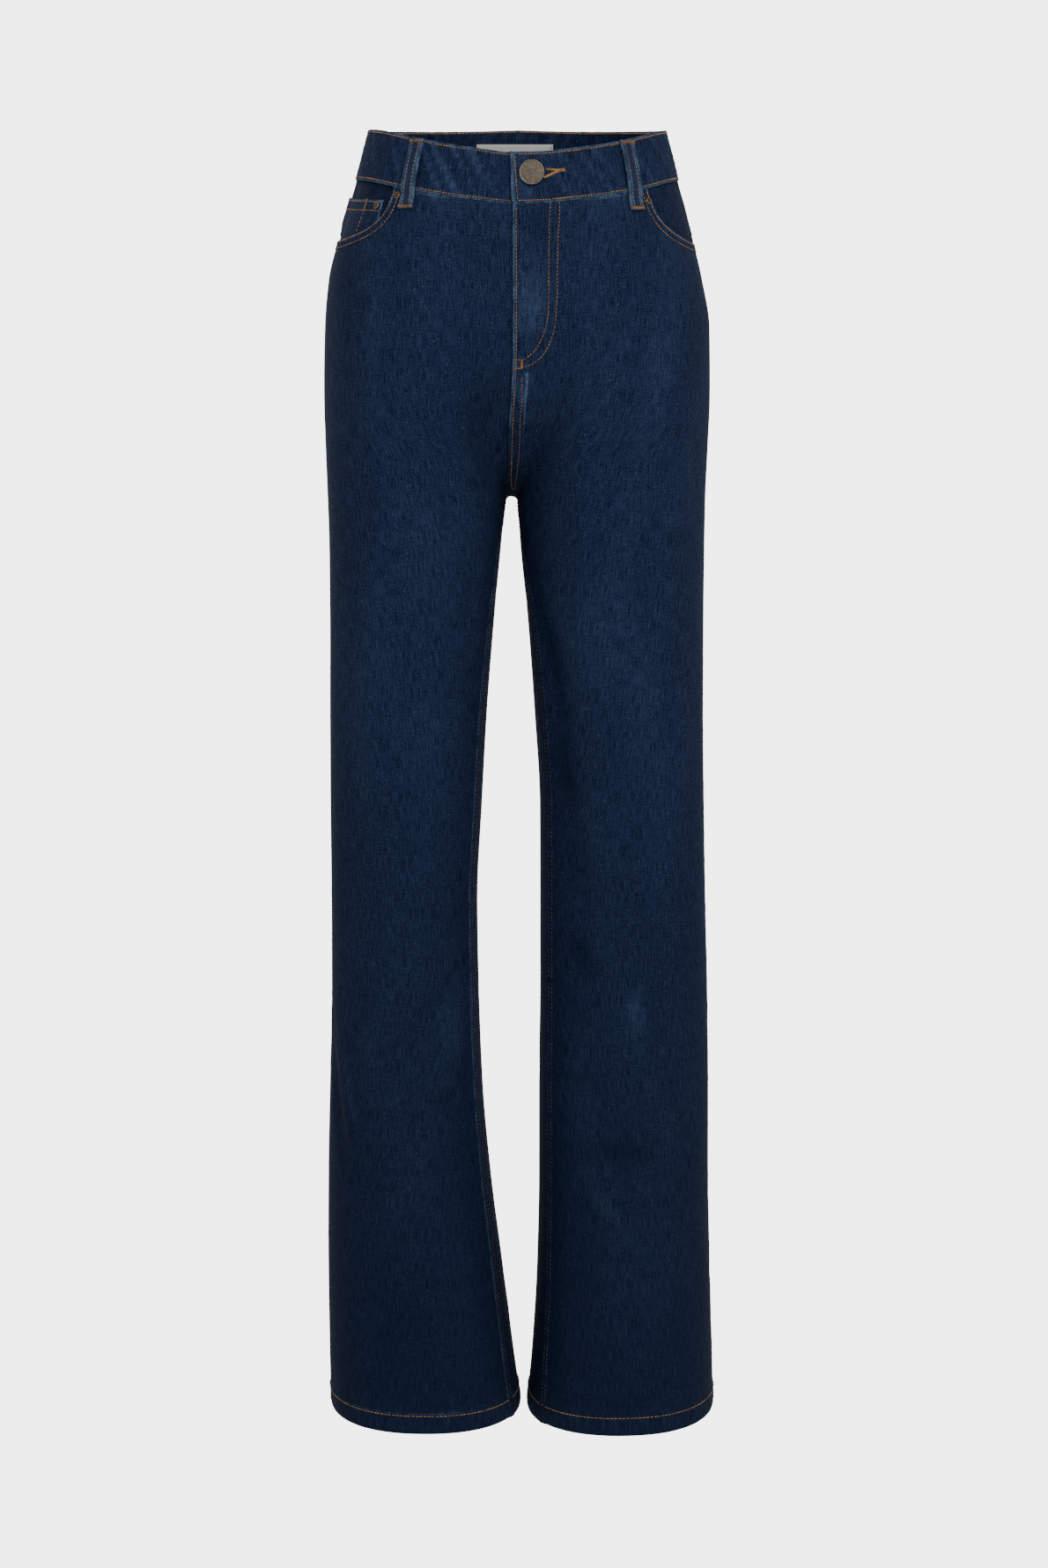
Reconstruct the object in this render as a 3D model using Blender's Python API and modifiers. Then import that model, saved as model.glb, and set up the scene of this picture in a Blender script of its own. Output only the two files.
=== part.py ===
"""Flared five-pocket jeans, filled out as if worn, with nobody in them.

The garment hangs from its waist. The origin is the middle of the waist opening, level with the band's
top edge at the sides, +Z is up, the front faces -Y and the wearer's left is +X.

Sizes are in millimetres, and make_object turns them into metres. Every cloth piece is a grid of points
on the garment's outer form, thickened equally to both sides. A place on that form is a side (right or
left leg), a turn and a height. The turn is 0 at the front rise or inseam, 1 at the outseam and 2 back at
the inseam or back rise.
"""

import math
from collections import namedtuple

import bmesh
import bpy
import numpy as np
from mathutils import Vector

MM = 0.001
COLLECTION = "flared_jeans"

# Cloth
CLOTH = 1.2
GAP = 0.3
LAYER = CLOTH + GAP
BAND_CLOTH = 2.6
LOOP_CLOTH = 2.0
LABEL_CLOTH = 0.8

# Heights
CROTCH = -299.0
HEM = {"right": -1087.0, "left": -1088.5}
HEM_TURN_UP = 15.0
HEM_ROWS = 5
BAND_HEIGHT = 40.5

SIGN = {"right": -1, "left": 1}
ROUNDNESS = 2.2
NOTCH_RADIUS = 4.8
LEAST_NOTCH = 0.3
SAMPLES = 40

# Furthest front and back of the sections, and where they are widest.
Depth = namedtuple("Depth", "height front side back")
DEPTHS = (
    Depth(10, -95, 0, 95),
    Depth(0, -96, 0, 96),
    Depth(-41, -103, 2, 107),
    Depth(-100, -109, 6, 131),
    Depth(-160, -110, 10, 145),
    Depth(-212, -108, 10, 148),
    Depth(-260, -104, 9, 142),
    Depth(-299, -100, 8, 130),
    Depth(-340, -96, 6, 116),
    Depth(-400, -90, 4, 103),
    Depth(-480, -83, 2, 93),
    Depth(-560, -77, 0, 84),
    Depth(-640, -73, -1, 76),
    Depth(-720, -73, 0, 76),
    Depth(-800, -77, 2, 82),
    Depth(-880, -81, 4, 88),
    Depth(-960, -85, 5, 93),
    Depth(-1040, -88, 6, 97),
    Depth(-1095, -90, 6, 99),
)

# Distance of each leg's outer edge from the middle of the body.
Width = namedtuple("Width", "height right left")
WIDTHS = (
    Width(10, 117, 119.5),
    Width(0, 119.6, 121.9),
    Width(-20, 125.2, 127.2),
    Width(-41, 131.0, 132.8),
    Width(-60, 137.0, 138.4),
    Width(-80, 143.4, 143.6),
    Width(-100, 149.6, 148.6),
    Width(-120, 154.4, 153.4),
    Width(-160, 158.2, 160.2),
    Width(-215, 159.4, 161.0),
    Width(-260, 158.4, 159.4),
    Width(-299, 157.1, 157.8),
    Width(-340, 156.0, 157.2),
    Width(-400, 155.8, 156.9),
    Width(-480, 156.4, 157.1),
    Width(-560, 156.6, 158.4),
    Width(-640, 156.4, 160.2),
    Width(-720, 157.0, 162.6),
    Width(-800, 159.2, 164.1),
    Width(-880, 161.4, 164.8),
    Width(-960, 162.2, 166.9),
    Width(-1040, 161.7, 169.6),
    Width(-1095, 160.4, 171.0),
)

# Distance of each leg's inner edge from the middle of the body.
Inner = namedtuple("Inner", "height right left")
INNERS = (
    Inner(-299, 9.2, 1.7),
    Inner(-340, 13.2, 4.2),
    Inner(-400, 18.9, 10.2),
    Inner(-480, 25.2, 16.1),
    Inner(-560, 29.7, 20.6),
    Inner(-640, 33.6, 20.9),
    Inner(-720, 32.4, 20.8),
    Inner(-800, 29.6, 20.1),
    Inner(-880, 22.9, 20.1),
    Inner(-960, 13.1, 18.6),
    Inner(-1040, 3.2, 14.1),
    Inner(-1095, -4.4, 8.9),
)

# Front and back rise seams by height above the crotch, and how far out the legs' axes lie, as a share of
# their place at the crotch.
Rise = namedtuple("Rise", "above front back axis")
RISES = (
    Rise(0, 7, 9, 1.0),
    Rise(1, -1, 18, 1.0),
    Rise(4, -11, 30, 1.0),
    Rise(10, -24, 45, 0.99),
    Rise(20, -41, 64, 0.98),
    Rise(40, -64, 95, 0.96),
    Rise(70, -87, 124, 0.92),
    Rise(110, -102, 141, 0.86),
    Rise(160, -108, 141, 0.76),
    Rise(210, -108.5, 129, 0.6),
    Rise(260, -102.5, 106, 0.4),
    Rise(310, -94, 94, 0.25),
)

# Where the middle of the front and back rise runs across the body.
Middle = namedtuple("Middle", "height place")
MIDDLES = (Middle(10, 1.6), Middle(-180, 1.7), Middle(-231, -1.0), Middle(-299, -3.7))

# How far in front of each leg's inner edge its inseam runs, in degrees, by height above the hem's level.
Inseam = namedtuple("Inseam", "height right left")
INSEAMS = (
    Inseam(-299, 0, 0),
    Inseam(-330, 9, 10),
    Inseam(-400, 17, 22),
    Inseam(-500, 21, 27),
    Inseam(-800, 21, 27),
    Inseam(-1000, 22, 29),
    Inseam(-1095, 23, 32),
)

# The band's top edge from the front's middle round to the back's.
TopEdge = namedtuple("TopEdge", "turn right left")
TOP_EDGE = (
    TopEdge(0, -23.3, -23.3),
    TopEdge(0.1, -22.0, -22.8),
    TopEdge(0.2, -19.6, -21.0),
    TopEdge(0.3, -16.8, -18.6),
    TopEdge(0.4, -13.3, -15.7),
    TopEdge(0.5, -9.6, -12.2),
    TopEdge(0.6, -5.9, -8.4),
    TopEdge(0.7, -3.2, -4.9),
    TopEdge(0.85, -1.0, -1.8),
    TopEdge(1.0, 0, 0),
    TopEdge(1.5, 4.5, 4.5),
    TopEdge(2.0, 7, 7),
)

# How far the hem's edge rises above its level, and where the yoke's lower edge runs.
Edge = namedtuple("Edge", "turn height")
HEM_EDGE = (Edge(0, 1), Edge(0.5, 4), Edge(1.0, 4), Edge(1.5, 1), Edge(2.0, 1))
YOKE_EDGE = (Edge(1.0, -84), Edge(1.35, -96), Edge(1.7, -112), Edge(2.0, -122))

# Broad folds: a trough is negative. Height is where a fold is deepest and lean how far it runs outward
# for each millimetre up.
Fold = namedtuple("Fold", "side turn height length width depth lean")
FOLDS = (
    Fold("right", 0.70, -808, 62, 11, 2.6, 0.31),
    Fold("right", 0.77, -806, 66, 10, -3.6, 0.31),
    Fold("right", 0.46, -722, 60, 17, -1.8, -0.85),
    Fold("right", 0.39, -810, 42, 16, -1.8, -0.8),
    Fold("right", 0.55, -990, 75, 18, -2.6, 0.03),
    Fold("right", 0.19, -990, 75, 18, 2.2, 0.0),
    Fold("left", 0.12, -465, 105, 12, -2.4, 0.0),
    Fold("left", 0.42, -690, 38, 18, -1.8, 0.4),
    Fold("left", 0.47, -752, 44, 16, 2.0, 0.28),
    Fold("left", 0.36, -840, 46, 19, -2.2, -0.5),
    Fold("left", 0.34, -895, 30, 16, 1.7, -1.2),
    Fold("left", 0.62, -850, 44, 18, -1.9, 0.5),
    Fold("left", 0.30, -1000, 80, 18, 1.9, -0.1),
    Fold("right", 1.35, -560, 55, 20, -2.4, 0.6),
    Fold("right", 1.66, -625, 62, 20, -2.8, -0.5),
    Fold("right", 1.50, -715, 58, 19, 2.0, 0.4),
    Fold("left", 1.42, -585, 60, 20, -2.7, 0.6),
    Fold("left", 1.70, -668, 55, 20, -2.4, -0.6),
    Fold("left", 1.48, -742, 62, 18, 1.9, -0.3),
    Fold("right", 1.58, -940, 105, 22, -2.5, 0.08),
    Fold("left", 1.47, -965, 100, 22, -2.4, -0.08),
)

# The panels' rows of points, at the inner seam and at the outer one.
Row = namedtuple("Row", "inner outer")
PANEL_ROWS = (
    Row(-1066, -1066),
    Row(-1030, -1030),
    Row(-980, -980),
    Row(-928, -928),
    Row(-876, -876),
    Row(-824, -824),
    Row(-772, -772),
    Row(-720, -720),
    Row(-668, -668),
    Row(-616, -616),
    Row(-562, -562),
    Row(-508, -508),
    Row(-456, -458),
    Row(-410, -415),
    Row(-370, -380),
    Row(-340, -352),
    Row(-320, -329),
    Row(-309, -311),
    Row(-303.8, -298),
    Row(-301.4, -288),
    Row(-300.0, -279),
    Row(-299.3, -270),
    Row(-299.0, -261),
    Row(-297.6, -251),
    Row(-293, -241),
    Row(-284, -230),
    Row(-268, -216),
    Row(-245, -200),
    Row(-215, -182),
    Row(-184, -163),
    Row(-155, -144),
    Row(-128, -125),
)
ACROSS = 16
TOP_CELLS = 4
# Distances of the first columns from a seam that needs them close.
CLOSE_COLUMNS = (0, 0.8, 2.8, 6.5, 13)
CROTCH_REACH = (25.0, 95.0)

# Front pocket mouth: the turn where its curve meets the band, its depth at the outseam, and how square
# the curve is.
MOUTH_START = {"right": 0.508, "left": 0.548}
MOUTH_DEPTH = {"right": 49.0, "left": 51.0}
MOUTH_CURVE = {"right": 2.65, "left": 2.45}
MOUTH_CELLS = 8
MOUTH_EASE = (-235.0, -110.0)
MOUTH_LEVEL = -72.0
FRONT_ACROSS = 208.0
FACING_LIFT = {"right": -2 * LAYER - 0.1, "left": -LAYER - 0.1}
FACING_UNDER = 11.0
FACING_LEAST = 26.0
FACING_CELLS = 8
FACING_FADE_SIDE = (2.0, 26.0)
FACING_FADE_DOWN = (2.0, 16.0)

# The corners of the two patch pockets, by how far along the cloth they lie from the outseam or from the
# back's middle seam. The coin pocket's lower corners lie beyond the facing's own edge.
Corner = namedtuple("Corner", "from_seam height")
COIN_OVER_FACING = LAYER + 0.05
COIN_CORNERS = (Corner(92, -59.5), Corner(3, -54.5), Corner(3, -130), Corner(92, -130))
BACK_ACROSS = 262.0
POCKET_LIFT = LAYER + 0.1
POCKET_CORNERS = (
    Corner(46, -147),
    Corner(180, -129),
    Corner(170, -252),
    Corner(114, -278),
    Corner(57, -268),
)
CUT_SNAP = 0.2

# Small pieces
LOOP_WIDTH = 10.5
LOOP_BELOW_BAND = 15.5
LOOP_BOW = 1.4
LOOP_TOP_LEVEL = -15.0
LOOP_SEAM_LEVEL = -55.0
BUTTON_PLACE = (12.7, -39.7)
BUTTON_RADIUS = 10.0
RIVET_RADIUS = 2.9
RIVET_STAND = CLOTH / 2 + GAP + 0.2
LABEL_SIZE = (65.4, 27.0)
LABEL_MIDDLE = -1.3
LABEL_TOP = -4.5
BAND_LIFT = 0.3
BAND_CELLS = 4
BAND_COLUMNS = 29
BAND_END_LOWER = -2.7
BAND_END_UPPER = -5.2
BAND_UNDERLAP = 25.0
BAND_MIDDLE = -43.0
FLY_LAP = 4.0
FLY_LIFT = LAYER + 0.1
FLY_LIFT_RISE = (15.0, 35.0)
FLY_LAP_RISE = (35.0, 60.0)

DENIM = ("denim", (0.016, 0.032, 0.075, 1), 0.85, 0.0)
DENIM_BAND = ("denim_band", (0.019, 0.038, 0.08, 1), 0.85, 0.0)
BUTTON_METAL = ("button_metal", (0.13, 0.105, 0.08, 1), 0.4, 1.0)
RIVET_METAL = ("rivet_metal", (0.2, 0.14, 0.08, 1), 0.4, 1.0)
LABEL_TAPE = ("label_tape", (0.42, 0.41, 0.38, 1), 0.9, 0.0)


def smooth_curve(places, values, at):
    """Values between the given ones on a smooth curve that never overshoots them."""
    order = np.argsort(places)
    places = np.asarray(places, float)[order]
    values = np.asarray(values, float)[order]
    slopes = np.diff(values) / np.diff(places)
    tangents = np.zeros(len(values))
    product = slopes[:-1] * slopes[1:]
    total = np.where(np.abs(slopes[:-1] + slopes[1:]) < 1e-9, 1.0, slopes[:-1] + slopes[1:])
    tangents[1:-1] = np.where(product > 0, 2 * product / total, 0.0)
    tangents[0], tangents[-1] = slopes[0], slopes[-1]
    at = np.clip(np.asarray(at, float), places[0], places[-1])
    cell = np.clip(np.searchsorted(places, at) - 1, 0, len(places) - 2)
    width = places[cell + 1] - places[cell]
    share = (at - places[cell]) / width
    rest = 1 - share
    start = values[cell] * (1 + 2 * share) + tangents[cell] * width * share
    end = values[cell + 1] * (1 + 2 * rest) - tangents[cell + 1] * width * rest
    return start * rest**2 + end * share**2


def read(table, column, at):
    """A table's column, by name, at the places that its first column counts."""
    return smooth_curve([row[0] for row in table], [getattr(row, column) for row in table], at)


def ease(value, start, end):
    """0 before start and 1 after end, with a soft change between them."""
    share = np.clip((value - start) / (end - start), 0.0, 1.0)
    return share * share * (3 - 2 * share)


def middle(height):
    """Where the front and back rise lie across the body."""
    return read(MIDDLES, "place", height)


def seam_depth(above, height, column, furthest):
    """Y of the front or back rise seam, which never lies beyond the panels beside it."""
    seam = read(RISES, column, above)
    if column == "front":
        return np.maximum(seam, furthest + LEAST_NOTCH)
    return np.minimum(seam, furthest - LEAST_NOTCH)


def section_sizes(side, heights):
    """The sizes that make one leg's section at each height, as columns."""
    heights = np.asarray(heights, float).reshape(-1, 1)
    above = heights - CROTCH
    size = {name: read(DEPTHS, name, heights) for name in ("front", "side", "back")}
    size["outer"] = read(WIDTHS, side, heights)
    size["inner"] = read(INNERS, side, heights)
    size["middle"] = SIGN[side] * middle(heights)
    leg_outer = np.minimum(heights, CROTCH)
    axis = (read(WIDTHS, side, leg_outer) + read(INNERS, side, leg_outer)) / 2
    size["axis"] = axis * read(RISES, "axis", above)
    size["inseam"] = np.radians(read(INSEAMS, side, heights))
    size["sunk"] = np.clip(-above / NOTCH_RADIUS, 0.0, 1.0)
    higher = np.maximum(above + NOTCH_RADIUS, 0.0)
    for name in ("front", "back"):
        furthest = size[name]
        start = seam_depth(np.maximum(above, 0), heights, name, furthest)
        start = np.where(above > 0, start, size["side"])
        later = seam_depth(higher, heights, name, read(DEPTHS, name, CROTCH + higher))
        run = np.clip(np.abs(later - start), LEAST_NOTCH, np.abs(furthest - start))
        size["seam_" + name] = start
        size["run_" + name] = run
        share = np.abs(start - size["side"]) / np.abs(furthest - size["side"])
        angle = np.arcsin(np.clip(share, 0, 1) ** (ROUNDNESS / 2))
        size["angle_" + name] = np.where(above > 0, angle, 0.0)
    size["inner"] = np.where(above > 0, read(INNERS, side, CROTCH), size["inner"])
    size["above"] = above
    return size


def section_points(size, angle):
    """X outward and Y of a section at an angle that is 0 inside, 90 in front and 180 degrees outside."""
    cosine, sine = np.cos(angle), np.sin(angle)
    across = np.sign(cosine) * np.abs(cosine) ** (2 / ROUNDNESS)
    along = np.sign(sine) * np.abs(sine) ** (2 / ROUNDNESS)
    reach = np.where(cosine < 0, size["outer"] - size["axis"], size["axis"] - size["inner"])
    depth = np.where(sine >= 0, size["side"] - size["front"], size["back"] - size["side"])
    x = size["axis"] - reach * across
    y = size["side"] - depth * along
    seam = np.where(sine >= 0, size["seam_front"], size["seam_back"])
    run = np.where(sine >= 0, size["run_front"], size["run_back"])
    share = size["sunk"] + (1 - size["sunk"]) * np.abs(y - seam) / run
    share = np.clip(share, 0, 1)
    notch = np.sqrt(1 - (1 - share) ** 2)
    x = np.where(cosine > 0, size["middle"] + (x - size["middle"]) * notch, x)
    return x, y


def arcs(side, part, heights):
    """The front or back of one leg's sections between their seams: X outward and Y, a row a height."""
    size = section_sizes(side, heights)
    steps = np.linspace(0, 1, SAMPLES).reshape(1, -1)
    quarter = math.pi / 2
    if part == "front":
        first = np.where(size["above"] > 0, size["angle_front"], size["inseam"])
        outside = quarter + quarter * steps[:, 1:] + 0 * first
        angle = np.hstack([first + (quarter - first) * steps**2, outside])
    else:
        last = 4 * quarter - size["angle_back"]
        past = np.where(size["above"] > 0, 0.0, size["inseam"])
        inside = last - (last - 3 * quarter) * (1 - steps) ** 2
        angle = np.hstack(
            [
                2 * quarter + quarter * steps + 0 * last,
                inside[:, 1:],
                last + past * steps[:, 1:],
            ]
        )
    return section_points(size, angle + 0 * size["axis"])


def arc_lengths(x, y):
    """Distance along each row of points."""
    steps = np.hypot(np.diff(x, axis=1), np.diff(y, axis=1))
    return np.hstack([np.zeros((len(x), 1)), np.cumsum(steps, axis=1)])


def along_rows(share, x, y):
    """The point at a share of each row's length."""
    length = arc_lengths(x, y)
    target = (share * length[:, -1]).reshape(-1, 1)
    cell = np.clip((length < target).sum(axis=1, keepdims=True) - 1, 0, x.shape[1] - 2)
    start = np.take_along_axis(length, cell, 1)
    width = np.take_along_axis(length, cell + 1, 1) - start
    part = np.clip((target - start) / np.maximum(width, 1e-9), 0, 1)
    found = [
        np.take_along_axis(values, cell, 1) * (1 - part) + np.take_along_axis(values, cell + 1, 1) * part
        for values in (x, y)
    ]
    return found[0][:, 0], found[1][:, 0]


def form(side, turn, height):
    """Points of the garment's outer form, before folds."""
    turn, height = np.broadcast_arrays(np.asarray(turn, float), np.asarray(height, float))
    shape = turn.shape
    turn, height = turn.ravel(), height.ravel()
    points = np.zeros((len(turn), 3))
    for part, chosen in (("front", turn <= 1), ("back", turn > 1)):
        if chosen.any():
            x, y = arcs(side, part, height[chosen])
            share = turn[chosen] - (part == "back")
            x, y = along_rows(np.clip(share, 0, 1), x, y)
            points[chosen] = np.stack([SIGN[side] * x, y, height[chosen]], axis=1)
    return points.reshape(shape + (3,))


def normals(side, turn, height):
    """Outward directions of the form."""
    turn, height = np.broadcast_arrays(np.asarray(turn, float), np.asarray(height, float))
    step = 0.01
    lower, upper = np.clip(turn - step, 0, 2), np.clip(turn + step, 0, 2)
    across = form(side, upper, height) - form(side, lower, height)
    upward = form(side, turn, height + 2) - form(side, turn, height - 2)
    normal = np.cross(across, upward) * SIGN[side]
    return normal / np.linalg.norm(normal, axis=-1, keepdims=True)


def leg_girth(side, part, height):
    """Length of cloth between two seams at a height."""
    x, y = arcs(side, part, np.atleast_1d(height).ravel())
    return arc_lengths(x, y)[:, -1].reshape(np.shape(height))


def fold_depth(side, turn, height):
    """How far the broad folds push the cloth out or in."""
    depth = np.zeros(np.broadcast(turn, height).shape)
    for fold in FOLDS:
        if fold.side != side:
            continue
        part = "front" if fold.turn < 1 else "back"
        girth = leg_girth(side, part, fold.height)
        off = (turn - fold.turn) * girth - fold.lean * (height - fold.height)
        along = (height - fold.height) / fold.length
        depth = depth + fold.depth * np.exp(-((off / fold.width) ** 2) - along**2 * 2)
    return depth


def place(side, turn, height, lift=0.0):
    """Points on the folded cloth, raised along its outward direction."""
    raised = fold_depth(side, turn, height) + lift
    return form(side, turn, height) + normals(side, turn, height) * raised[..., None]


def turn_at(side, part, x, height):
    """The turn at which the front or back of the form passes a place across the body."""
    x, height = np.broadcast_arrays(np.asarray(x, float), np.asarray(height, float))
    shape = x.shape
    rows, depths = arcs(side, part, height.ravel())
    length = arc_lengths(rows, depths)
    outward = SIGN[side] * x.ravel()
    found = np.zeros(len(outward))
    for index, value in enumerate(outward):
        order = slice(None) if part == "front" else slice(None, None, -1)
        found[index] = np.interp(value, rows[index][order], length[index][order])
        found[index] /= length[index][-1]
    return (found + (part == "back")).reshape(shape)


def top_edge(side, turn):
    """Height of the band's top edge."""
    return read(TOP_EDGE, side, turn)


def band_seam(side, turn):
    """Height of the band's lower edge."""
    return top_edge(side, turn) - BAND_HEIGHT


def material(finish):
    """The Principled material of a finish, made once."""
    name, colour, roughness, metallic = finish
    found = bpy.data.materials.get(name)
    if found:
        return found
    made = bpy.data.materials.new(name)
    made.use_nodes = True
    made.diffuse_color = colour
    shader = made.node_tree.nodes["Principled BSDF"]
    shader.inputs["Base Color"].default_value = colour
    shader.inputs["Roughness"].default_value = roughness
    shader.inputs["Metallic"].default_value = metallic
    return made


def make_object(name, builder, finish):
    """An object in the garment's collection from a bmesh in millimetres."""
    bmesh.ops.scale(builder, vec=(MM, MM, MM), verts=builder.verts)
    mesh = bpy.data.meshes.new(name)
    builder.to_mesh(mesh)
    builder.free()
    mesh.materials.append(material(finish))
    mesh.shade_smooth()
    mesh.set_sharp_from_angle(angle=math.radians(50))
    thing = bpy.data.objects.new(name, mesh)
    bpy.data.collections[COLLECTION].objects.link(thing)
    return thing


def grid_mesh(points, halved=False):
    """Faces through a grid of points, each cut in half where a patch has to lie on it."""
    builder = bmesh.new()
    grid = [[builder.verts.new(point) for point in row] for row in points]
    for lower, upper in zip(grid, grid[1:]):
        for corner in zip(lower, lower[1:], upper[1:], upper):
            builder.faces.new(corner)
    if halved:
        bmesh.ops.triangulate(builder, faces=builder.faces[:], quad_method="SHORT_EDGE")
    return builder


def thicken(sheet, thickness):
    """Gives a piece of cloth half its thickness on each side."""
    solid = sheet.modifiers.new("thickness", "SOLIDIFY")
    solid.thickness = thickness * MM
    solid.offset = 0
    solid.use_even_offset = False
    return sheet


def make_sheet(name, points, thickness, finish, halved=False):
    """A piece of cloth through a grid of points."""
    return thicken(make_object(name, grid_mesh(points, halved), finish), thickness)


def make_patch(name, side, points, corners, lift):
    """A piece of cloth cut out of another's grid of points by its corners' places, and raised off it."""
    turns, heights = (np.array(column, float) for column in zip(*corners))
    places = form(side, turns, heights)
    outward = normals(side, turns, heights)
    builder = grid_mesh(points, halved=True)
    for index, start in enumerate(places):
        along = places[index - 1] - start
        across = np.cross(along, outward[index - 1] + outward[index])
        across *= np.sign(across @ (start - places.mean(axis=0)))
        geometry = builder.verts[:] + builder.edges[:] + builder.faces[:]
        bmesh.ops.bisect_plane(
            builder,
            geom=geometry,
            dist=CUT_SNAP,
            plane_co=start,
            plane_no=Vector(across).normalized(),
            clear_outer=True,
        )
    builder.normal_update()
    raised = [vert.co + vert.normal * lift * SIGN[side] for vert in builder.verts]
    for vert, point in zip(builder.verts, raised):
        vert.co = point
    return thicken(make_object(name, builder, DENIM), CLOTH)


def close_columns(cells, end, girth):
    """Shares of columns that lie close together by a seam and evenly from there to an end."""
    close = np.array(CLOSE_COLUMNS).reshape(1, -1) / girth
    rest = np.linspace(0, 1, cells + 2 - len(CLOSE_COLUMNS)).reshape(1, -1)
    last = close[:, -1:]
    return np.hstack([close, (last + (end - last) * rest)[:, 1:]])


def column_shares(side, part, heights, mouth):
    """Where the panel's columns run across the cloth, a row a height."""
    even = np.linspace(0, 1, ACROSS + 1).reshape(1, -1) + 0 * heights
    close = close_columns(ACROSS, 1.0, leg_girth(side, part, heights[:, 0]).reshape(-1, 1))
    if part == "back":
        close = 1 - close[:, ::-1]
    near = 1 - ease(np.abs(heights[:, :1] - CROTCH), *CROTCH_REACH)
    if side == "left" and part == "front":
        near = np.maximum(near, ease(heights[:, :1], CROTCH, CROTCH + FLY_LIFT_RISE[0]))
    shares = even + (close - even) * near
    if mouth is not None:
        shares = shares + (mouth - shares) * ease(heights[:, :1], *MOUTH_EASE)
    return shares


def mouth_columns(side):
    """Shares of the front's columns at its top, and how far each ends below the band."""
    start = MOUTH_START[side]
    curve = MOUTH_CURVE[side]
    plain = np.linspace(0, start, ACROSS - MOUTH_CELLS + 1)
    if side == "left":
        girth = leg_girth(side, "front", MOUTH_LEVEL)
        plain = close_columns(ACROSS - MOUTH_CELLS, start, girth)[0]
    angles = np.linspace(0, math.pi / 2, 5 * SAMPLES)
    across = (1 - start) * np.abs(np.cos(angles)) ** (2 / curve)
    drops = MOUTH_DEPTH[side] * np.sin(angles) ** (2 / curve)
    steps = np.hypot(np.diff(across) * FRONT_ACROSS, np.diff(drops))
    length = np.concatenate([[0], np.cumsum(steps)])
    even = np.linspace(0, length[-1], MOUTH_CELLS + 1)[1:]
    shares = 1 - np.interp(even, length, across)
    drops = np.interp(even, length, drops)
    return np.concatenate([plain, shares]), np.concatenate([0 * plain, drops])


def hem_rows(side, turns):
    """The turned-up hem's rows: up inside the leg, round the fold and to its outer face."""
    edge = HEM[side] + read(HEM_EDGE, "height", turns)
    radius = LAYER / 2
    rows = [(edge + HEM_TURN_UP, -LAYER)]
    for angle in np.linspace(0, math.pi, HEM_ROWS - 1):
        rows.append((edge + radius * (1 - math.sin(angle)), -radius * (1 + math.cos(angle))))
    return rows


def panel_grid(side, part, top, mouth=None):
    """Shares across, heights and lifts of a panel's points, from the hem's inner edge to the top."""
    inner = np.array([row.inner for row in PANEL_ROWS], float).reshape(-1, 1)
    outer = np.array([row.outer for row in PANEL_ROWS], float).reshape(-1, 1)
    even = np.linspace(0, 1, ACROSS + 1).reshape(1, -1)
    across = even if part == "front" else 1 - even
    heights = inner + (outer - inner) * ease(across, 0.0, 0.8)
    hem = hem_rows(side, even[0] + (part == "back"))
    low = np.stack([height for height, lift in hem])
    lifts = np.concatenate([[lift for height, lift in hem], np.zeros(len(PANEL_ROWS) + TOP_CELLS)])
    steps = np.linspace(0, 1, TOP_CELLS + 1)[1:].reshape(-1, 1)
    last = heights[-1:]
    heights = np.vstack([low, heights, last + (top - last) * steps])
    shares = column_shares(side, part, heights, mouth)
    margin = (GAP / 2) / leg_girth(side, part, heights[:, 0]).reshape(-1, 1)
    shares = margin + shares * (1 - 2 * margin)
    return shares, heights, lifts.reshape(-1, 1) + 0 * heights


def make_front(side):
    """Front panel, its pocket mouth scooped out of its upper outer corner."""
    mouth, drops = mouth_columns(side)
    top = band_seam(side, mouth) - drops - GAP
    shares, heights, lifts = panel_grid(side, "front", top, mouth)
    if side == "left":
        points = lapped_points(shares, heights, lifts)
    else:
        points = place(side, shares, heights, lifts)
    return make_sheet("front_" + side, points, CLOTH, DENIM)


def lapped_points(shares, heights, lifts):
    """Points of the left front, its edge raised and carried past the middle over the right front."""
    above = heights - CROTCH
    girth = leg_girth("left", "front", heights)
    distance = shares * girth
    lifts = lifts + FLY_LIFT * ease(above, *FLY_LIFT_RISE) * (1 - ease(distance, 4, 13))
    along = distance - FLY_LAP * ease(above, *FLY_LAP_RISE) * (1 - ease(distance, 0, 10))
    points = place("left", np.maximum(along, 0) / girth, heights, lifts)
    past = along < 0
    over = -along[past] / leg_girth("right", "front", heights[past])
    points[past] = place("right", over, heights[past], lifts[past])
    return points


def make_yoke(side):
    """Back yoke, between the back panel and the band."""
    shares = np.linspace(0, 1, ACROSS + 1).reshape(1, -1)
    low = read(YOKE_EDGE, "height", 1 + shares)
    high = band_seam(side, 1 + shares) - GAP
    heights = low + (high - low) * np.linspace(0, 1, 6).reshape(-1, 1)
    margin = (GAP / 2) / leg_girth(side, "back", heights[:, 0]).reshape(-1, 1)
    shares = margin + shares * (1 - 2 * margin)
    return make_sheet("yoke_" + side, place(side, 1 + shares, heights), CLOTH, DENIM)


def facing_recess(side, turns, above_edge):
    """The facing's depth under the front, which fades to nothing at the outseam above the mouth's edge."""
    from_seam = (1 - turns) * FRONT_ACROSS
    sunk = np.maximum(ease(from_seam, *FACING_FADE_SIDE), 1 - ease(above_edge, *FACING_FADE_DOWN))
    return FACING_LIFT[side] * sunk


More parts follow.
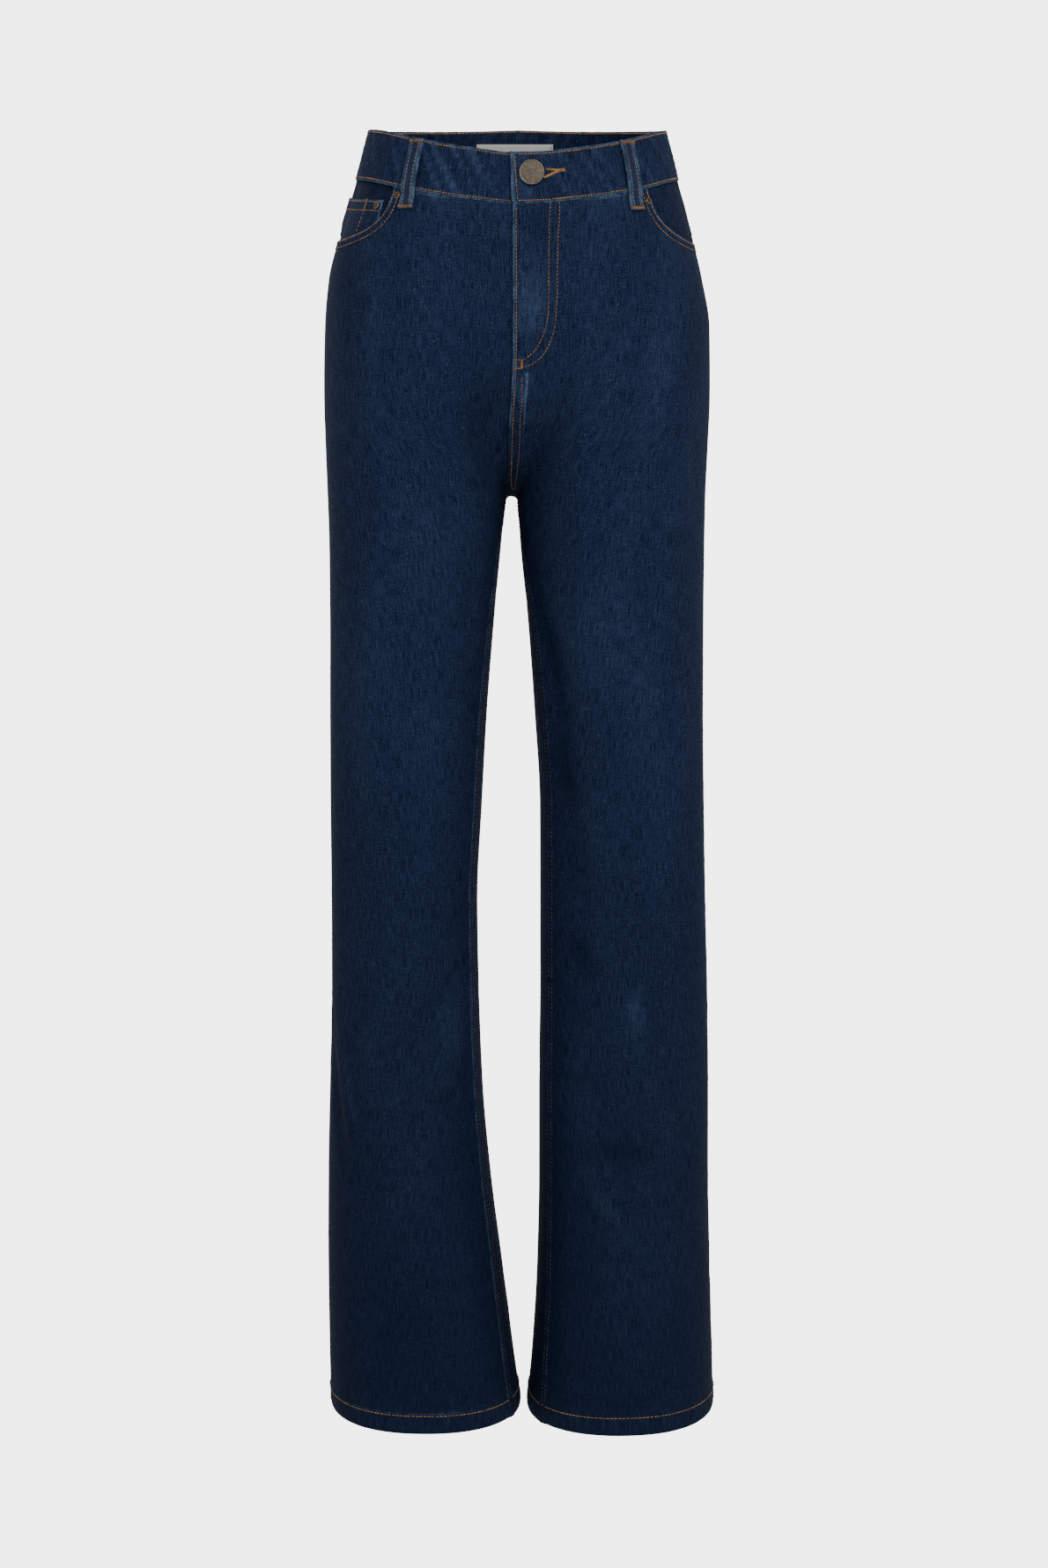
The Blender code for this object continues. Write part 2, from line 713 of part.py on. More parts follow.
def facing_points(side):
    """Grid of points of a pocket facing, in the front's own columns."""
    mouth, drops = mouth_columns(side)
    turns = mouth[ACROSS - MOUTH_CELLS - 1 :].reshape(1, -1)
    drops = drops[ACROSS - MOUTH_CELLS - 1 :].reshape(1, -1)
    seam = band_seam(side, turns)
    depth = np.maximum(drops + FACING_UNDER, FACING_LEAST)
    heights = seam - GAP - depth * np.linspace(1, 0, FACING_CELLS + 1).reshape(-1, 1)
    lifts = facing_recess(side, turns, heights - (seam - drops))
    margin = (GAP / 2) / FRONT_ACROSS
    return place(side, margin + turns * (1 - 2 * margin), heights, lifts)


def make_facing(side):
    """Pocket facing that shows through the pocket mouth."""
    return make_sheet("facing_" + side, facing_points(side), CLOTH, DENIM, halved=True)


def make_coin_pocket():
    """Coin pocket on the right facing; its inner and lower edges run under the front."""
    corners = [(1 - corner.from_seam / FRONT_ACROSS, corner.height) for corner in COIN_CORNERS]
    return make_patch("coin_pocket", "right", facing_points("right"), corners, COIN_OVER_FACING)


def make_back(side):
    """Back panel, up to the yoke, and the patch pocket on it."""
    turns = 1 + np.linspace(0, 1, ACROSS + 1)
    top = read(YOKE_EDGE, "height", turns) - GAP
    shares, heights, lifts = panel_grid(side, "back", top)
    points = place(side, 1 + shares, heights, lifts)
    corners = [(2 - corner.from_seam / BACK_ACROSS, corner.height) for corner in POCKET_CORNERS]
    make_patch("pocket_" + side, side, points[HEM_ROWS:], corners, POCKET_LIFT)
    return make_sheet("back_" + side, points, CLOTH, DENIM, halved=True)


def band_columns():
    """Side, turns and sunk depth of each of the band's columns, from its hidden end to its outer one."""
    across = np.linspace(0, 2, BAND_COLUMNS)
    level = np.zeros(BAND_CELLS + 1)
    hidden = turn_at("left", "front", np.array([BAND_UNDERLAP, BAND_UNDERLAP / 2]), BAND_MIDDLE)
    ends = np.linspace(BAND_END_LOWER, BAND_END_UPPER, BAND_CELLS + 1)
    heights = band_heights("right", level)
    girth = float(leg_girth("right", "front", BAND_MIDDLE))
    columns = [("left", turn + level, 1.0) for turn in hidden]
    columns += [("right", turn + level, 1 - ease(turn * girth, 9, 28)) for turn in across[:-1]]
    columns += [("left", turn + level, 0.0) for turn in across[::-1]]
    columns.append(("right", turn_at("right", "front", ends, heights), 0.0))
    return columns


def band_heights(side, turns):
    """Heights of one of the band's columns, from its lower edge to its upper one."""
    return band_seam(side, turns) + BAND_HEIGHT * np.linspace(0, 1, BAND_CELLS + 1)


def make_waistband():
    """Waistband, one strip round the body whose left end lies over its right end."""
    columns = []
    for side, turns, sunk in band_columns():
        heights = band_heights(side, turns)
        lift = BAND_LIFT - sunk * (BAND_CLOTH + GAP + 0.15)
        columns.append(place(side, turns, heights, lift + 0 * heights))
    points = np.stack(columns, axis=1)
    return make_sheet("waistband", points, BAND_CLOTH, DENIM_BAND)


def body_points(x, heights, part, lifts):
    """Points of the front or back at places given across and up, on whichever leg they fall."""
    x, heights, lifts = np.broadcast_arrays(x, heights, lifts)
    points = np.zeros(x.shape + (3,))
    for side, chosen in (("right", x < middle(heights)), ("left", x >= middle(heights))):
        if chosen.any():
            turns = turn_at(side, part, x[chosen], heights[chosen])
            points[chosen] = place(side, turns, heights[chosen], lifts[chosen])
    return points


# The belt loops: whether in front or behind, and where their ends lie across the body.
Loop = namedtuple("Loop", "name part top bottom")
LOOPS = (
    Loop("loop_front_right", "front", -76.7, -87),
    Loop("loop_front_left", "front", 86.6, 96),
    Loop("loop_side_right", "back", -88, -94),
    Loop("loop_side_left", "back", 88, 94),
    Loop("loop_back", "back", -2.4, -2.4),
)


def make_loop(loop):
    """Belt loop sewn at the band's top edge and below the band, bowed between."""
    side = "right" if loop.top < 0 else "left"
    high = float(top_edge(side, turn_at(side, loop.part, loop.top, LOOP_TOP_LEVEL)))
    seam = float(band_seam(side, turn_at(side, loop.part, loop.bottom, LOOP_SEAM_LEVEL)))
    low = seam - LOOP_BELOW_BAND
    flat = CLOTH / 2 + GAP + LOOP_CLOTH / 2 + 0.1
    over = BAND_LIFT + BAND_CLOTH / 2 + GAP + LOOP_CLOTH / 2
    rows = [(low, flat), (low + 7, flat), (seam - 4, flat + 0.2), (seam - 1, over + 0.3)]
    for share in (0.18, 0.4, 0.6, 0.82, 1.0):
        bow = LOOP_BOW * math.sin(math.pi * min(share + 0.1, 1.0))
        rows.append((seam + (high - seam) * share, over + 0.1 + bow))
    heights = np.array([row[0] for row in rows]).reshape(-1, 1)
    lifts = np.array([row[1] for row in rows]).reshape(-1, 1)
    share = (heights - low) / (high - low)
    centre = loop.bottom + (loop.top - loop.bottom) * share
    x = centre + LOOP_WIDTH * np.linspace(-0.5, 0.5, 4).reshape(1, -1)
    points = body_points(x, heights, loop.part, lifts)
    return make_sheet(loop.name, points, LOOP_CLOTH, DENIM_BAND)


def make_turned(name, profile, point, direction, finish, steps=24):
    """A turned piece from a profile of radius and height, standing on a point."""
    builder = bmesh.new()
    ends = [builder.verts.new((radius, 0, height)) for radius, height in profile]
    for pair in zip(ends, ends[1:]):
        builder.edges.new(pair)
    thing = make_object(name, builder, finish)
    turned = thing.modifiers.new("turned", "SCREW")
    turned.steps = turned.render_steps = steps
    turned.use_merge_vertices = True
    turned.merge_threshold = 0.00001
    thing.location = [value * MM for value in point]
    thing.rotation_mode = "QUATERNION"
    thing.rotation_quaternion = Vector(direction).to_track_quat("Z", "Y")
    return thing


def make_button():
    """Waist button: a flat disc with a rolled rim."""
    x, height = BUTTON_PLACE
    turn = turn_at("left", "front", x, height)
    point = place("left", turn, np.asarray(height), np.asarray(BAND_LIFT + BAND_CLOTH / 2 + GAP))
    radius = BUTTON_RADIUS
    profile = (
        (0, 2.2),
        (radius - 2.4, 2.2),
        (radius - 1.9, 2.7),
        (radius - 0.9, 2.8),
        (radius, 2.0),
        (radius - 0.2, 1.1),
        (radius - 1.6, 0.6),
        (4.0, 0.4),
        (4.0, 0.0),
        (0, 0.0),
    )
    direction = normals("left", turn, np.asarray(height))
    return make_turned("button", profile, point, direction, BUTTON_METAL, 24)


# The rivets: how far below the band they sit, and how high they stand over the form.
Rivet = namedtuple("Rivet", "name side turn below lift")
RIVETS = (
    Rivet("rivet_right", "right", 0.481, 6.0, RIVET_STAND),
    Rivet("rivet_left", "left", 0.537, 9.5, RIVET_STAND),
    Rivet("rivet_coin", "right", 0.587, 17.0, FACING_LIFT["right"] + COIN_OVER_FACING + RIVET_STAND),
)


def make_rivet(rivet):
    """Rivet: a ring with a raised nub."""
    turn = np.asarray(rivet.turn)
    height = np.asarray(band_seam(rivet.side, turn) - rivet.below)
    point = place(rivet.side, turn, height, np.asarray(rivet.lift))
    radius = RIVET_RADIUS
    profile = ((0, 1.2), (0.8, 1.0), (1.0, 0.5), (radius - 0.7, 0.8), (radius, 0.5), (radius, 0), (0, 0))
    direction = normals(rivet.side, turn, height)
    return make_turned(rivet.name, profile, point, direction, RIVET_METAL, 16)


def make_label():
    """Blank label inside the back of the band."""
    width, depth = LABEL_SIZE
    x = LABEL_MIDDLE + np.linspace(-0.5, 0.5, 9).reshape(1, -1) * width
    heights = LABEL_TOP - depth * np.linspace(1, 0, 4).reshape(-1, 1)
    lift = BAND_LIFT - BAND_CLOTH / 2 - GAP - LABEL_CLOTH / 2 - 0.1
    points = body_points(x, heights, "back", lift)
    return make_sheet("label", points, LABEL_CLOTH, LABEL_TAPE)


def clear_scene():
    """Removes what the scene starts with and adds the garment's collection."""
    for thing in list(bpy.data.objects):
        bpy.data.objects.remove(thing)
    bpy.context.scene.collection.children.link(bpy.data.collections.new(COLLECTION))


def main():
    """Makes every piece."""
    clear_scene()
    for side in SIGN:
        make_front(side)
        make_back(side)
        make_yoke(side)
        make_facing(side)
    make_coin_pocket()
    make_waistband()
    for loop in LOOPS:
        make_loop(loop)
    make_button()
    for rivet in RIVETS:
        make_rivet(rivet)
    make_label()


main()
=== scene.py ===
"""Looks of a pair of flared jeans: fine cloth shells, stitches and fasteners on the frame's form.

Sizes are in millimetres until a mesh is made. A place on the garment is a side (one leg and its
half of the hips), a turn and a height. The turn is 0 at the front rise or inseam, 1 at the outseam
and 2 back at the back rise or inseam.
"""

import functools
import logging
import math
from dataclasses import dataclass, field
from enum import Enum
from typing import Callable, NamedTuple, Optional, Sequence

import bmesh
import bpy
import numpy as np
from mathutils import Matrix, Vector


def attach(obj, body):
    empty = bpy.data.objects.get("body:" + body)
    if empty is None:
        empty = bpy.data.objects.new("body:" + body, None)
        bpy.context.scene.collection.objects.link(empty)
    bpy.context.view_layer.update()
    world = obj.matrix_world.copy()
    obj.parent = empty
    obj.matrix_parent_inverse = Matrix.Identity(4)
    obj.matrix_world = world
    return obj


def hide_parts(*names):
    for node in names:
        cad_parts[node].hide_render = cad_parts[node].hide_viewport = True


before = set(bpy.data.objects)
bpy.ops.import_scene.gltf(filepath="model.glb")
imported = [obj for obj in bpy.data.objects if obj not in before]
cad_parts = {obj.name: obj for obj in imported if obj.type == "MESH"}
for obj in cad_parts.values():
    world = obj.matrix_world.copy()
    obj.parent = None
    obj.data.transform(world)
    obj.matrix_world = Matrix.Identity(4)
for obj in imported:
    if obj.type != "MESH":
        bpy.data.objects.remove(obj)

log = logging.getLogger("flared_jeans")

Array = np.ndarray
MM = 0.001
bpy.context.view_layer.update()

# Cloth and its layers
CLOTH = 1.2
# How far a flat-felled seam's free edge lies from its seam line
FELLED_EDGE = 8.2
# Between these distances the felled cloth steps down to one layer
FELLED_STEP = (7.4, 8.4)
# How far a stitch lies off the middle of its cloth
THREAD_STAND = CLOTH / 2 + 0.2
GAP = 0.3
LAYER = CLOTH + GAP
# How far the cloth below the band runs up between its layers
TUCK = 0.8
BAND_CLOTH = 2.6
LOOP_CLOTH = 2.0
LABEL_CLOTH = 0.8

# Heights
CROTCH = -299.0
HEM_TURN_UP = 15.0
BAND_HEIGHT = 40.5
FLOOR_HEIGHT = -1330.0

# The form's sections
ROUNDNESS = 2.2
NOTCH_RADIUS = 4.8
LEAST_NOTCH = 0.3
SAMPLES = 110
TABLE_SHARES = 181


class Side(Enum):
    """The wearer's side that a piece is on."""

    RIGHT = "right"
    LEFT = "left"

    @property
    def sign(self) -> int:
        """Direction of the side along X."""
        return -1 if self is Side.RIGHT else 1


class Part(Enum):
    """Half of a leg, between its two seams."""

    FRONT = "front"
    BACK = "back"


class Thread(Enum):
    """Which thread a row of stitches is sewn with."""

    COPPER = "copper"
    BLUE = "blue"


class Depth(NamedTuple):
    """Furthest front and back of a section, and where it is widest."""

    height: float
    front: float
    side: float
    back: float


class Pair(NamedTuple):
    """A size of the right and of the left leg at a place."""

    place: float
    right: float
    left: float


class Rise(NamedTuple):
    """Front and back rise seams above the crotch, and how far out the legs' axes lie."""

    above: float
    front: float
    back: float
    axis: float


class Edge(NamedTuple):
    """Height of an edge at a turn or a place across the body."""

    turn: float
    height: float


class Mark(NamedTuple):
    """A soft oblong mark: how strong it is at its middle, its size and how it leans outward."""

    turn: float
    height: float
    length: float
    width: float
    strength: float
    lean: float


class Row(NamedTuple):
    """Heights of a panel's row of points at its inner and its outer seam."""

    inner: float
    outer: float


class Corner(NamedTuple):
    """Corner of a patch, by its distance along the cloth from a seam."""

    from_seam: float
    height: float


class Loop(NamedTuple):
    """Where a belt loop's ends lie across the body."""

    name: str
    part: Part
    top: float
    bottom: float


class Rivet(NamedTuple):
    """How far below the band a rivet sits, and how high it stands over the form."""

    name: str
    side: Side
    turn: float
    below: float
    lift: float


def table(kind: type, *rows: tuple) -> tuple:
    """Rows of plain numbers as rows of one kind."""
    return tuple(kind(*row) for row in rows)


# The form: its sections' depths, the legs' outer and inner edges, the rises, the line between the
# legs' fronts, how far the inseams turn forward, and the band's top edge.
DEPTHS = table(
    Depth,
    (10, -95, 0, 95), (0, -96, 0, 96), (-41, -103, 2, 107), (-100, -109, 6, 131),
    (-160, -110, 10, 145), (-212, -108, 10, 148), (-260, -104, 9, 142), (-299, -100, 8, 130),
    (-340, -96, 6, 116), (-400, -90, 4, 103), (-480, -83, 2, 93), (-560, -77, 0, 84),
    (-640, -73, -1, 76), (-720, -73, 0, 76), (-800, -77, 2, 82), (-880, -81, 4, 88),
    (-960, -85, 5, 93), (-1040, -88, 6, 97), (-1095, -90, 6, 99),
)
WIDTHS = table(
    Pair,
    (10, 117, 119.5), (0, 119.6, 121.9), (-20, 125.2, 127.2), (-41, 131.0, 132.8),
    (-60, 137.0, 138.4), (-80, 143.4, 143.6), (-100, 149.6, 148.6), (-120, 154.4, 153.4),
    (-160, 158.2, 160.2), (-215, 159.4, 161.0), (-260, 158.4, 159.4), (-299, 157.1, 157.8),
    (-340, 156.0, 157.2), (-400, 155.8, 156.9), (-480, 156.4, 157.1), (-560, 156.6, 158.4),
    (-640, 156.4, 160.2), (-720, 157.0, 162.6), (-800, 159.2, 164.1), (-880, 161.4, 164.8),
    (-960, 162.2, 166.9), (-1040, 161.7, 169.6), (-1095, 160.4, 171.0),
)
INNERS = table(
    Pair,
    (-299, 9.2, 1.7), (-340, 13.2, 4.2), (-400, 18.9, 10.2), (-480, 25.2, 16.1), (-560, 29.7, 20.6),
    (-640, 33.6, 20.9), (-720, 32.4, 20.8), (-800, 29.6, 20.1), (-880, 22.9, 20.1),
    (-960, 13.1, 18.6), (-1040, 3.2, 14.1), (-1095, -4.4, 8.9),
)
RISES = table(
    Rise,
    (0, 7, 9, 1.0), (1, -1, 18, 1.0), (4, -11, 30, 1.0), (10, -24, 45, 0.99), (20, -41, 64, 0.98),
    (40, -64, 95, 0.96), (70, -87, 124, 0.92), (110, -102, 141, 0.86), (160, -108, 141, 0.76),
    (210, -108.5, 129, 0.6), (260, -102.5, 106, 0.4), (310, -94, 94, 0.25),
)
MIDDLES = table(Edge, (10, 1.6), (-180, 1.7), (-231, -1.0), (-299, -3.7))
INSEAMS = table(
    Pair,
    (-299, 0, 0), (-330, 9, 10), (-400, 17, 22), (-500, 21, 27), (-800, 21, 27), (-1000, 22, 29),
    (-1095, 23, 32),
)
TOP_EDGE = table(
    Pair,
    (0, -23.3, -23.3), (0.1, -22.0, -22.8), (0.2, -19.6, -21.0), (0.3, -16.8, -18.6),
    (0.4, -13.3, -15.7), (0.5, -9.6, -12.2), (0.6, -5.9, -8.4), (0.7, -3.2, -4.9),
    (0.85, -1.0, -1.8), (1.0, 0, 0), (1.5, 4.5, 4.5), (2.0, 7, 7),
)
HEM = {Side.RIGHT: -1087.0, Side.LEFT: -1088.5}
HEM_EDGE = table(Edge, (0, 1), (0.5, 4), (1.0, 4), (1.5, 1), (2.0, 1))
YOKE_EDGE = table(Edge, (1.0, -84), (1.35, -96), (1.7, -112), (2.0, -122))

# The solids' own broad troughs (negative) and ridges.
FOLDS = {
    Side.RIGHT: table(
        Mark,
        (0.70, -808, 62, 11, 2.6, 0.31), (0.77, -806, 66, 10, -3.6, 0.31),
        (0.46, -722, 60, 17, -1.8, -0.85), (0.39, -810, 42, 16, -1.8, -0.8),
        (0.55, -990, 75, 18, -2.6, 0.03), (0.19, -990, 75, 18, 2.2, 0.0),
        (1.35, -560, 55, 20, -2.4, 0.6), (1.66, -625, 62, 20, -2.8, -0.5),
        (1.50, -715, 58, 19, 2.0, 0.4), (1.58, -940, 105, 22, -2.5, 0.08),
    ),
    Side.LEFT: table(
        Mark,
        (0.12, -465, 105, 12, -2.4, 0.0), (0.42, -690, 38, 18, -1.8, 0.4),
        (0.47, -752, 44, 16, 2.0, 0.28), (0.36, -840, 46, 19, -2.2, -0.5),
        (0.34, -895, 30, 16, 1.7, -1.2), (0.62, -850, 44, 18, -1.9, 0.5),
        (0.30, -1000, 80, 18, 1.9, -0.1), (1.42, -585, 60, 20, -2.7, 0.6),
        (1.70, -668, 55, 20, -2.4, -0.6), (1.48, -742, 62, 18, 1.9, -0.3),
        (1.47, -965, 100, 22, -2.4, -0.08),
    ),
}

# Smaller troughs and ridges that only the cloth shells have.
CREASES = {
    Side.RIGHT: table(
        Mark,
        (0.10, -318, 11, 5, -0.9, 2.2), (0.20, -338, 14, 6, -0.8, 1.6),
        (0.16, -262, 13, 6, -0.7, 2.6), (0.30, -283, 12, 7, -0.5, 3.0),
        (0.36, -118, 9, 7, -0.5, -2.5), (0.30, -640, 22, 8, -0.9, -1.2),
        (0.62, -676, 24, 8, -0.8, 1.0), (0.52, -765, 26, 7, 0.8, -0.9),
        (0.28, -868, 26, 8, -0.8, -0.7), (0.60, -905, 34, 9, -0.9, 0.25),
        (0.36, -945, 34, 9, 0.8, -0.2), (1.62, -318, 12, 8, -1.4, -2.6),
        (1.50, -335, 13, 8, 0.9, -2.4), (1.72, -352, 14, 7, -1.1, -2.0),
        (1.86, -372, 16, 6, -1.0, -1.4), (1.28, -610, 20, 9, -1.2, 1.6),
        (1.72, -586, 20, 9, -1.3, -1.5), (1.60, -668, 22, 8, 1.0, 1.2),
        (1.38, -690, 24, 8, -1.1, -1.0), (1.78, -745, 26, 8, -1.0, 0.9),
        (1.35, -860, 34, 9, -0.9, 0.3), (1.80, -1005, 36, 9, 0.9, 0.0),
        (0.86, -740, 22, 6, -0.9, 0.9), (0.90, -775, 20, 5, -0.8, 0.7),
        (0.672, -796, 46, 5, 1.0, 0.34), (0.30, -720, 42, 9, -1.0, -0.76),
        (0.25, -806, 32, 8, -0.9, -0.88),
    ),
    Side.LEFT: table(
        Mark,
        (0.11, -322, 12, 5, -1.0, 2.0), (0.22, -345, 15, 6, -0.7, 1.5),
        (0.19, -268, 12, 6, -0.7, 2.4), (0.34, -290, 12, 7, -0.5, 2.8),
        (0.40, -132, 10, 7, -0.6, -2.2), (0.30, -640, 22, 8, -0.8, 1.1),
        (0.66, -700, 26, 8, -0.9, -0.8), (0.26, -770, 26, 7, -0.8, 0.9),
        (0.52, -905, 30, 8, 0.8, -0.6), (0.20, -930, 34, 9, -0.9, 0.2),
        (0.72, -960, 38, 9, -0.8, -0.1), (1.60, -322, 12, 8, -1.3, -2.5),
        (1.47, -343, 14, 8, 0.9, -2.2), (1.74, -360, 15, 7, -1.2, -1.9),
        (1.88, -384, 16, 6, -0.9, -1.3), (1.30, -632, 20, 9, -1.1, 1.5),
        (1.70, -604, 20, 9, -1.3, -1.6), (1.56, -690, 22, 8, 1.0, -1.1),
        (1.36, -712, 24, 8, -1.1, 1.0), (1.80, -772, 28, 8, -1.0, -0.8),
        (1.66, -880, 34, 9, -0.9, -0.3), (1.24, -1010, 36, 9, 0.8, 0.1),
        (0.90, -735, 22, 6, -0.7, -0.7), (0.93, -905, 18, 5, -0.9, 0.9),
        (0.93, -960, 18, 5, -0.8, -0.8), (0.94, -1015, 18, 5, -0.8, 0.8),
        (0.105, -425, 75, 8, -1.2, -0.12), (0.14, -530, 58, 9, -1.1, -0.2),
        (0.44, -725, 30, 8, 0.9, 0.0), (0.36, -843, 12, 20, -0.9, 0.0),
        (0.33, -894, 34, 7, 0.9, -0.8),
    ),
}

# Pale (positive) and darker marks of the cloth: broad worn and faded areas, painted shade in fold
# troughs, beside the fly's lap, by the crotch and along the left inseam, and painted highlights
# along ridges and on the right leg's inner edge.
SHADE_AND_WEAR_MARKS = {
    Side.RIGHT: table(
        Mark,
        (0.42, -430, 110, 62, 0.10, 0.0), (0.50, -170, 38, 6, 0.14, 0.0),
        (0.0, -150, 120, 4, -0.80, 0.0), (0.11, -228, 48, 26, -0.32, -0.5),
        (0.20, -740, 46, 17, 0.26, 0.4), (0.03, -800, 190, 8, 0.25, 0.0),
        (0.30, -720, 42, 10, -0.32, -0.76), (0.25, -806, 32, 9, -0.28, -0.88),
        (0.672, -796, 46, 4, 0.55, 0.34), (0.985, -735, 60, 3, 0.45, 0.10),
        (0.60, -850, 66, 22, -0.38, 0.2), (0.50, -965, 80, 40, -0.30, 0.0),
        (1.55, -230, 70, 60, 0.12, 0.0), (1.50, -640, 36, 30, -0.30, 0.4),
        (1.40, -860, 60, 12, 0.22, 0.3),
    ),
    Side.LEFT: table(
        Mark,
        (0.42, -430, 110, 62, 0.12, 0.0), (0.50, -195, 60, 34, 0.12, 0.0),
        (0.48, -180, 40, 5, 0.10, 0.0), (0.53, -215, 34, 4, 0.10, 0.0),
        (0.052, -142, 34, 11, 0.62, 0.0), (0.02, -208, 16, 7, 0.50, 0.0),
        (0.075, -80, 20, 11, -0.45, 0.0), (0.10, -420, 75, 9, -0.75, -0.12),
        (0.13, -530, 58, 11, -0.70, -0.2), (0.21, -612, 42, 13, -0.40, -0.2),
        (0.0, -700, 380, 9, -0.40, 0.0), (0.21, -676, 26, 11, -0.80, -0.45),
        (0.14, -782, 5, 24, -0.60, 0.0), (0.44, -725, 30, 9, 0.55, 0.0),
        (0.36, -843, 13, 26, -0.70, 0.0), (0.33, -894, 34, 7, 0.32, -0.8),
        (0.12, -982, 30, 5, 0.28, -0.3), (1.55, -230, 70, 60, 0.12, 0.0),
        (1.60, -655, 34, 30, -0.30, -0.4), (1.62, -900, 60, 12, 0.22, -0.3),
    ),
}

# How the cloth darkens from the hips to the hem.
DUSK = table(
    Edge,
    (-1090, 0.68), (-950, 0.56), (-700, 0.36), (-450, 0.18), (-200, 0.08), (-60, 0.03),
)

PANEL_ROWS = table(
    Row,
    (-1066, -1066), (-980, -980), (-876, -876), (-772, -772), (-668, -668), (-562, -562),
    (-508, -508), (-456, -458), (-410, -415), (-370, -380), (-340, -352), (-320, -329),
    (-309, -311), (-303.8, -298), (-301.4, -288), (-300.0, -279), (-299.3, -270), (-299.0, -261),
    (-297.6, -251), (-293, -241), (-284, -230), (-268, -216), (-245, -200), (-215, -182),
    (-184, -163), (-155, -144), (-128, -125),
)
ROW_STEP = 3.6
TOP_ROWS = 17
ACROSS = 74
# Distances of the first and last columns from the panels' seams.
NEAR_SEAM = (0, 0.5, 1.2, 2.1, 3.1, 4.3, 5.6, 6.8, 7.6, 8.2, 8.9, 10.2, 12.6, 16)

MOUTH_START = {Side.RIGHT: 0.508, Side.LEFT: 0.548}
MOUTH_DEPTH = {Side.RIGHT: 49.0, Side.LEFT: 51.0}
MOUTH_CURVE = {Side.RIGHT: 2.65, Side.LEFT: 2.45}
MOUTH_CELLS = 36
MOUTH_EASE = (-235.0, -110.0)
# Heights between which the grain turns from following the rise to following the outseam
GRAIN_CHANGE = (-272.0, -238.0)
FRONT_ACROSS = 208.0
BACK_ACROSS = 262.0
FACING_LIFT = {Side.RIGHT: -2 * LAYER - 0.1, Side.LEFT: -LAYER - 0.1}
FACING_UNDER = 11.0
FACING_LEAST = 26.0
FACING_FADE_SIDE = (2.0, 26.0)
FACING_FADE_DOWN = (2.0, 16.0)
COIN_OVER_FACING = LAYER + 0.05
COIN_TOP = table(Corner, (92, -59.5), (3, -54.5))
POCKET_LIFT = LAYER + 0.1
POCKET_SIZE = (124, 128)
# Places further than this from a pocket's edge are all treated alike
FAR_OFF = 40.0
POCKET_CORNERS = table(Corner, (46, -147), (180, -129), (170, -252), (114, -278), (57, -268))

LOOP_WIDTH = 10.5
LOOP_BELOW_BAND = 15.5
LOOP_BOW = 1.4
LOOP_TOP_LEVEL = -15.0
LOOP_SEAM_LEVEL = -55.0
LOOPS = (
    Loop("loop_front_right", Part.FRONT, -76.7, -87),
    Loop("loop_front_left", Part.FRONT, 86.6, 96),
    Loop("loop_side_right", Part.BACK, -88, -94),
    Loop("loop_side_left", Part.BACK, 88, 94),
    Loop("loop_back", Part.BACK, -2.4, -2.4),
)
BUTTON_PLACE = (12.7, -39.7)
BUTTON_RADIUS = 10.0
RIVET_RADIUS = 2.9
RIVET_STAND = CLOTH / 2 + GAP + 0.2
RIVETS = (
    Rivet("rivet_right", Side.RIGHT, 0.481, 6.0, RIVET_STAND),
    Rivet("rivet_left", Side.LEFT, 0.537, 9.5, RIVET_STAND),
    Rivet(
        "rivet_coin",
        Side.RIGHT,
        0.587,
        17.0,
        FACING_LIFT[Side.RIGHT] + COIN_OVER_FACING + RIVET_STAND,
    ),
)
LABEL_SIZE = (65.4, 27.0)
LABEL_MIDDLE = -1.3
LABEL_TOP = -4.5

BAND_LIFT = 0.3
BAND_SINK = BAND_CLOTH + GAP + 0.15
BAND_SINK_FADE = (9, 28)
BAND_END_LOWER = -2.7
BAND_END_UPPER = -5.2
BAND_UNDERLAP = 25.0
BAND_MIDDLE = -43.0
FLY_LAP = 4.0
FLY_LIFT = LAYER + 0.1
FLY_LIFT_RISE = (2.0, 12.0)
FLY_LIFT_FADE = (4, 13)
FLY_LAP_RISE = (3.0, 16.0)
FLY_LAP_FADE = (0, 10)

# The fly's two curved rows of stitches and the front rise's outer row, across the body and up.
FLY_INNER = (
    (27.7, -62.6), (26.5, -85), (26.2, -114), (26.2, -133), (26.1, -146), (24.1, -160),
    (19.9, -171), (14.3, -180), (6.4, -186),
)
FLY_OUTER = (
    (34.9, -62.2), (34.3, -80), (33.1, -104), (33.1, -128), (32.5, -143), (31.1, -160),
    (28.1, -171),
    (21.4, -183), (12.2, -190), (5.2, -192), (-2.2, -193.4),
)
FLY_TACK = (4.9, -186.0, -192.5)
FLY_DENSE = (((-3.0, -186.0), (6.4, -186.0)), ((-4.0, -193.4), (5.2, -192.2)))
RISE_OUTER = ((5.1, -199), (5.1, -215), (3.8, -231), (2.8, -258), (1.2, -276), (-0.4, -291))
# Where the band's rows are sewn twice: from and to across the body, and height in the band.
DENSE_ROWS = ((41.0, 50.5, 38.3), (28.5, 49.5, 2.2))
# The buttonhole's two arms and its closed end: both ends of a bar, the stitches' width and number.
BUTTONHOLE = (
    ((24.0, -37.0), (33.5, -37.9), 2.0, 15),
    ((22.6, -43.6), (33.0, -38.9), 2.2, 18),
    ((32.6, -38.2), (38.6, -37.6), 3.0, 11),
)


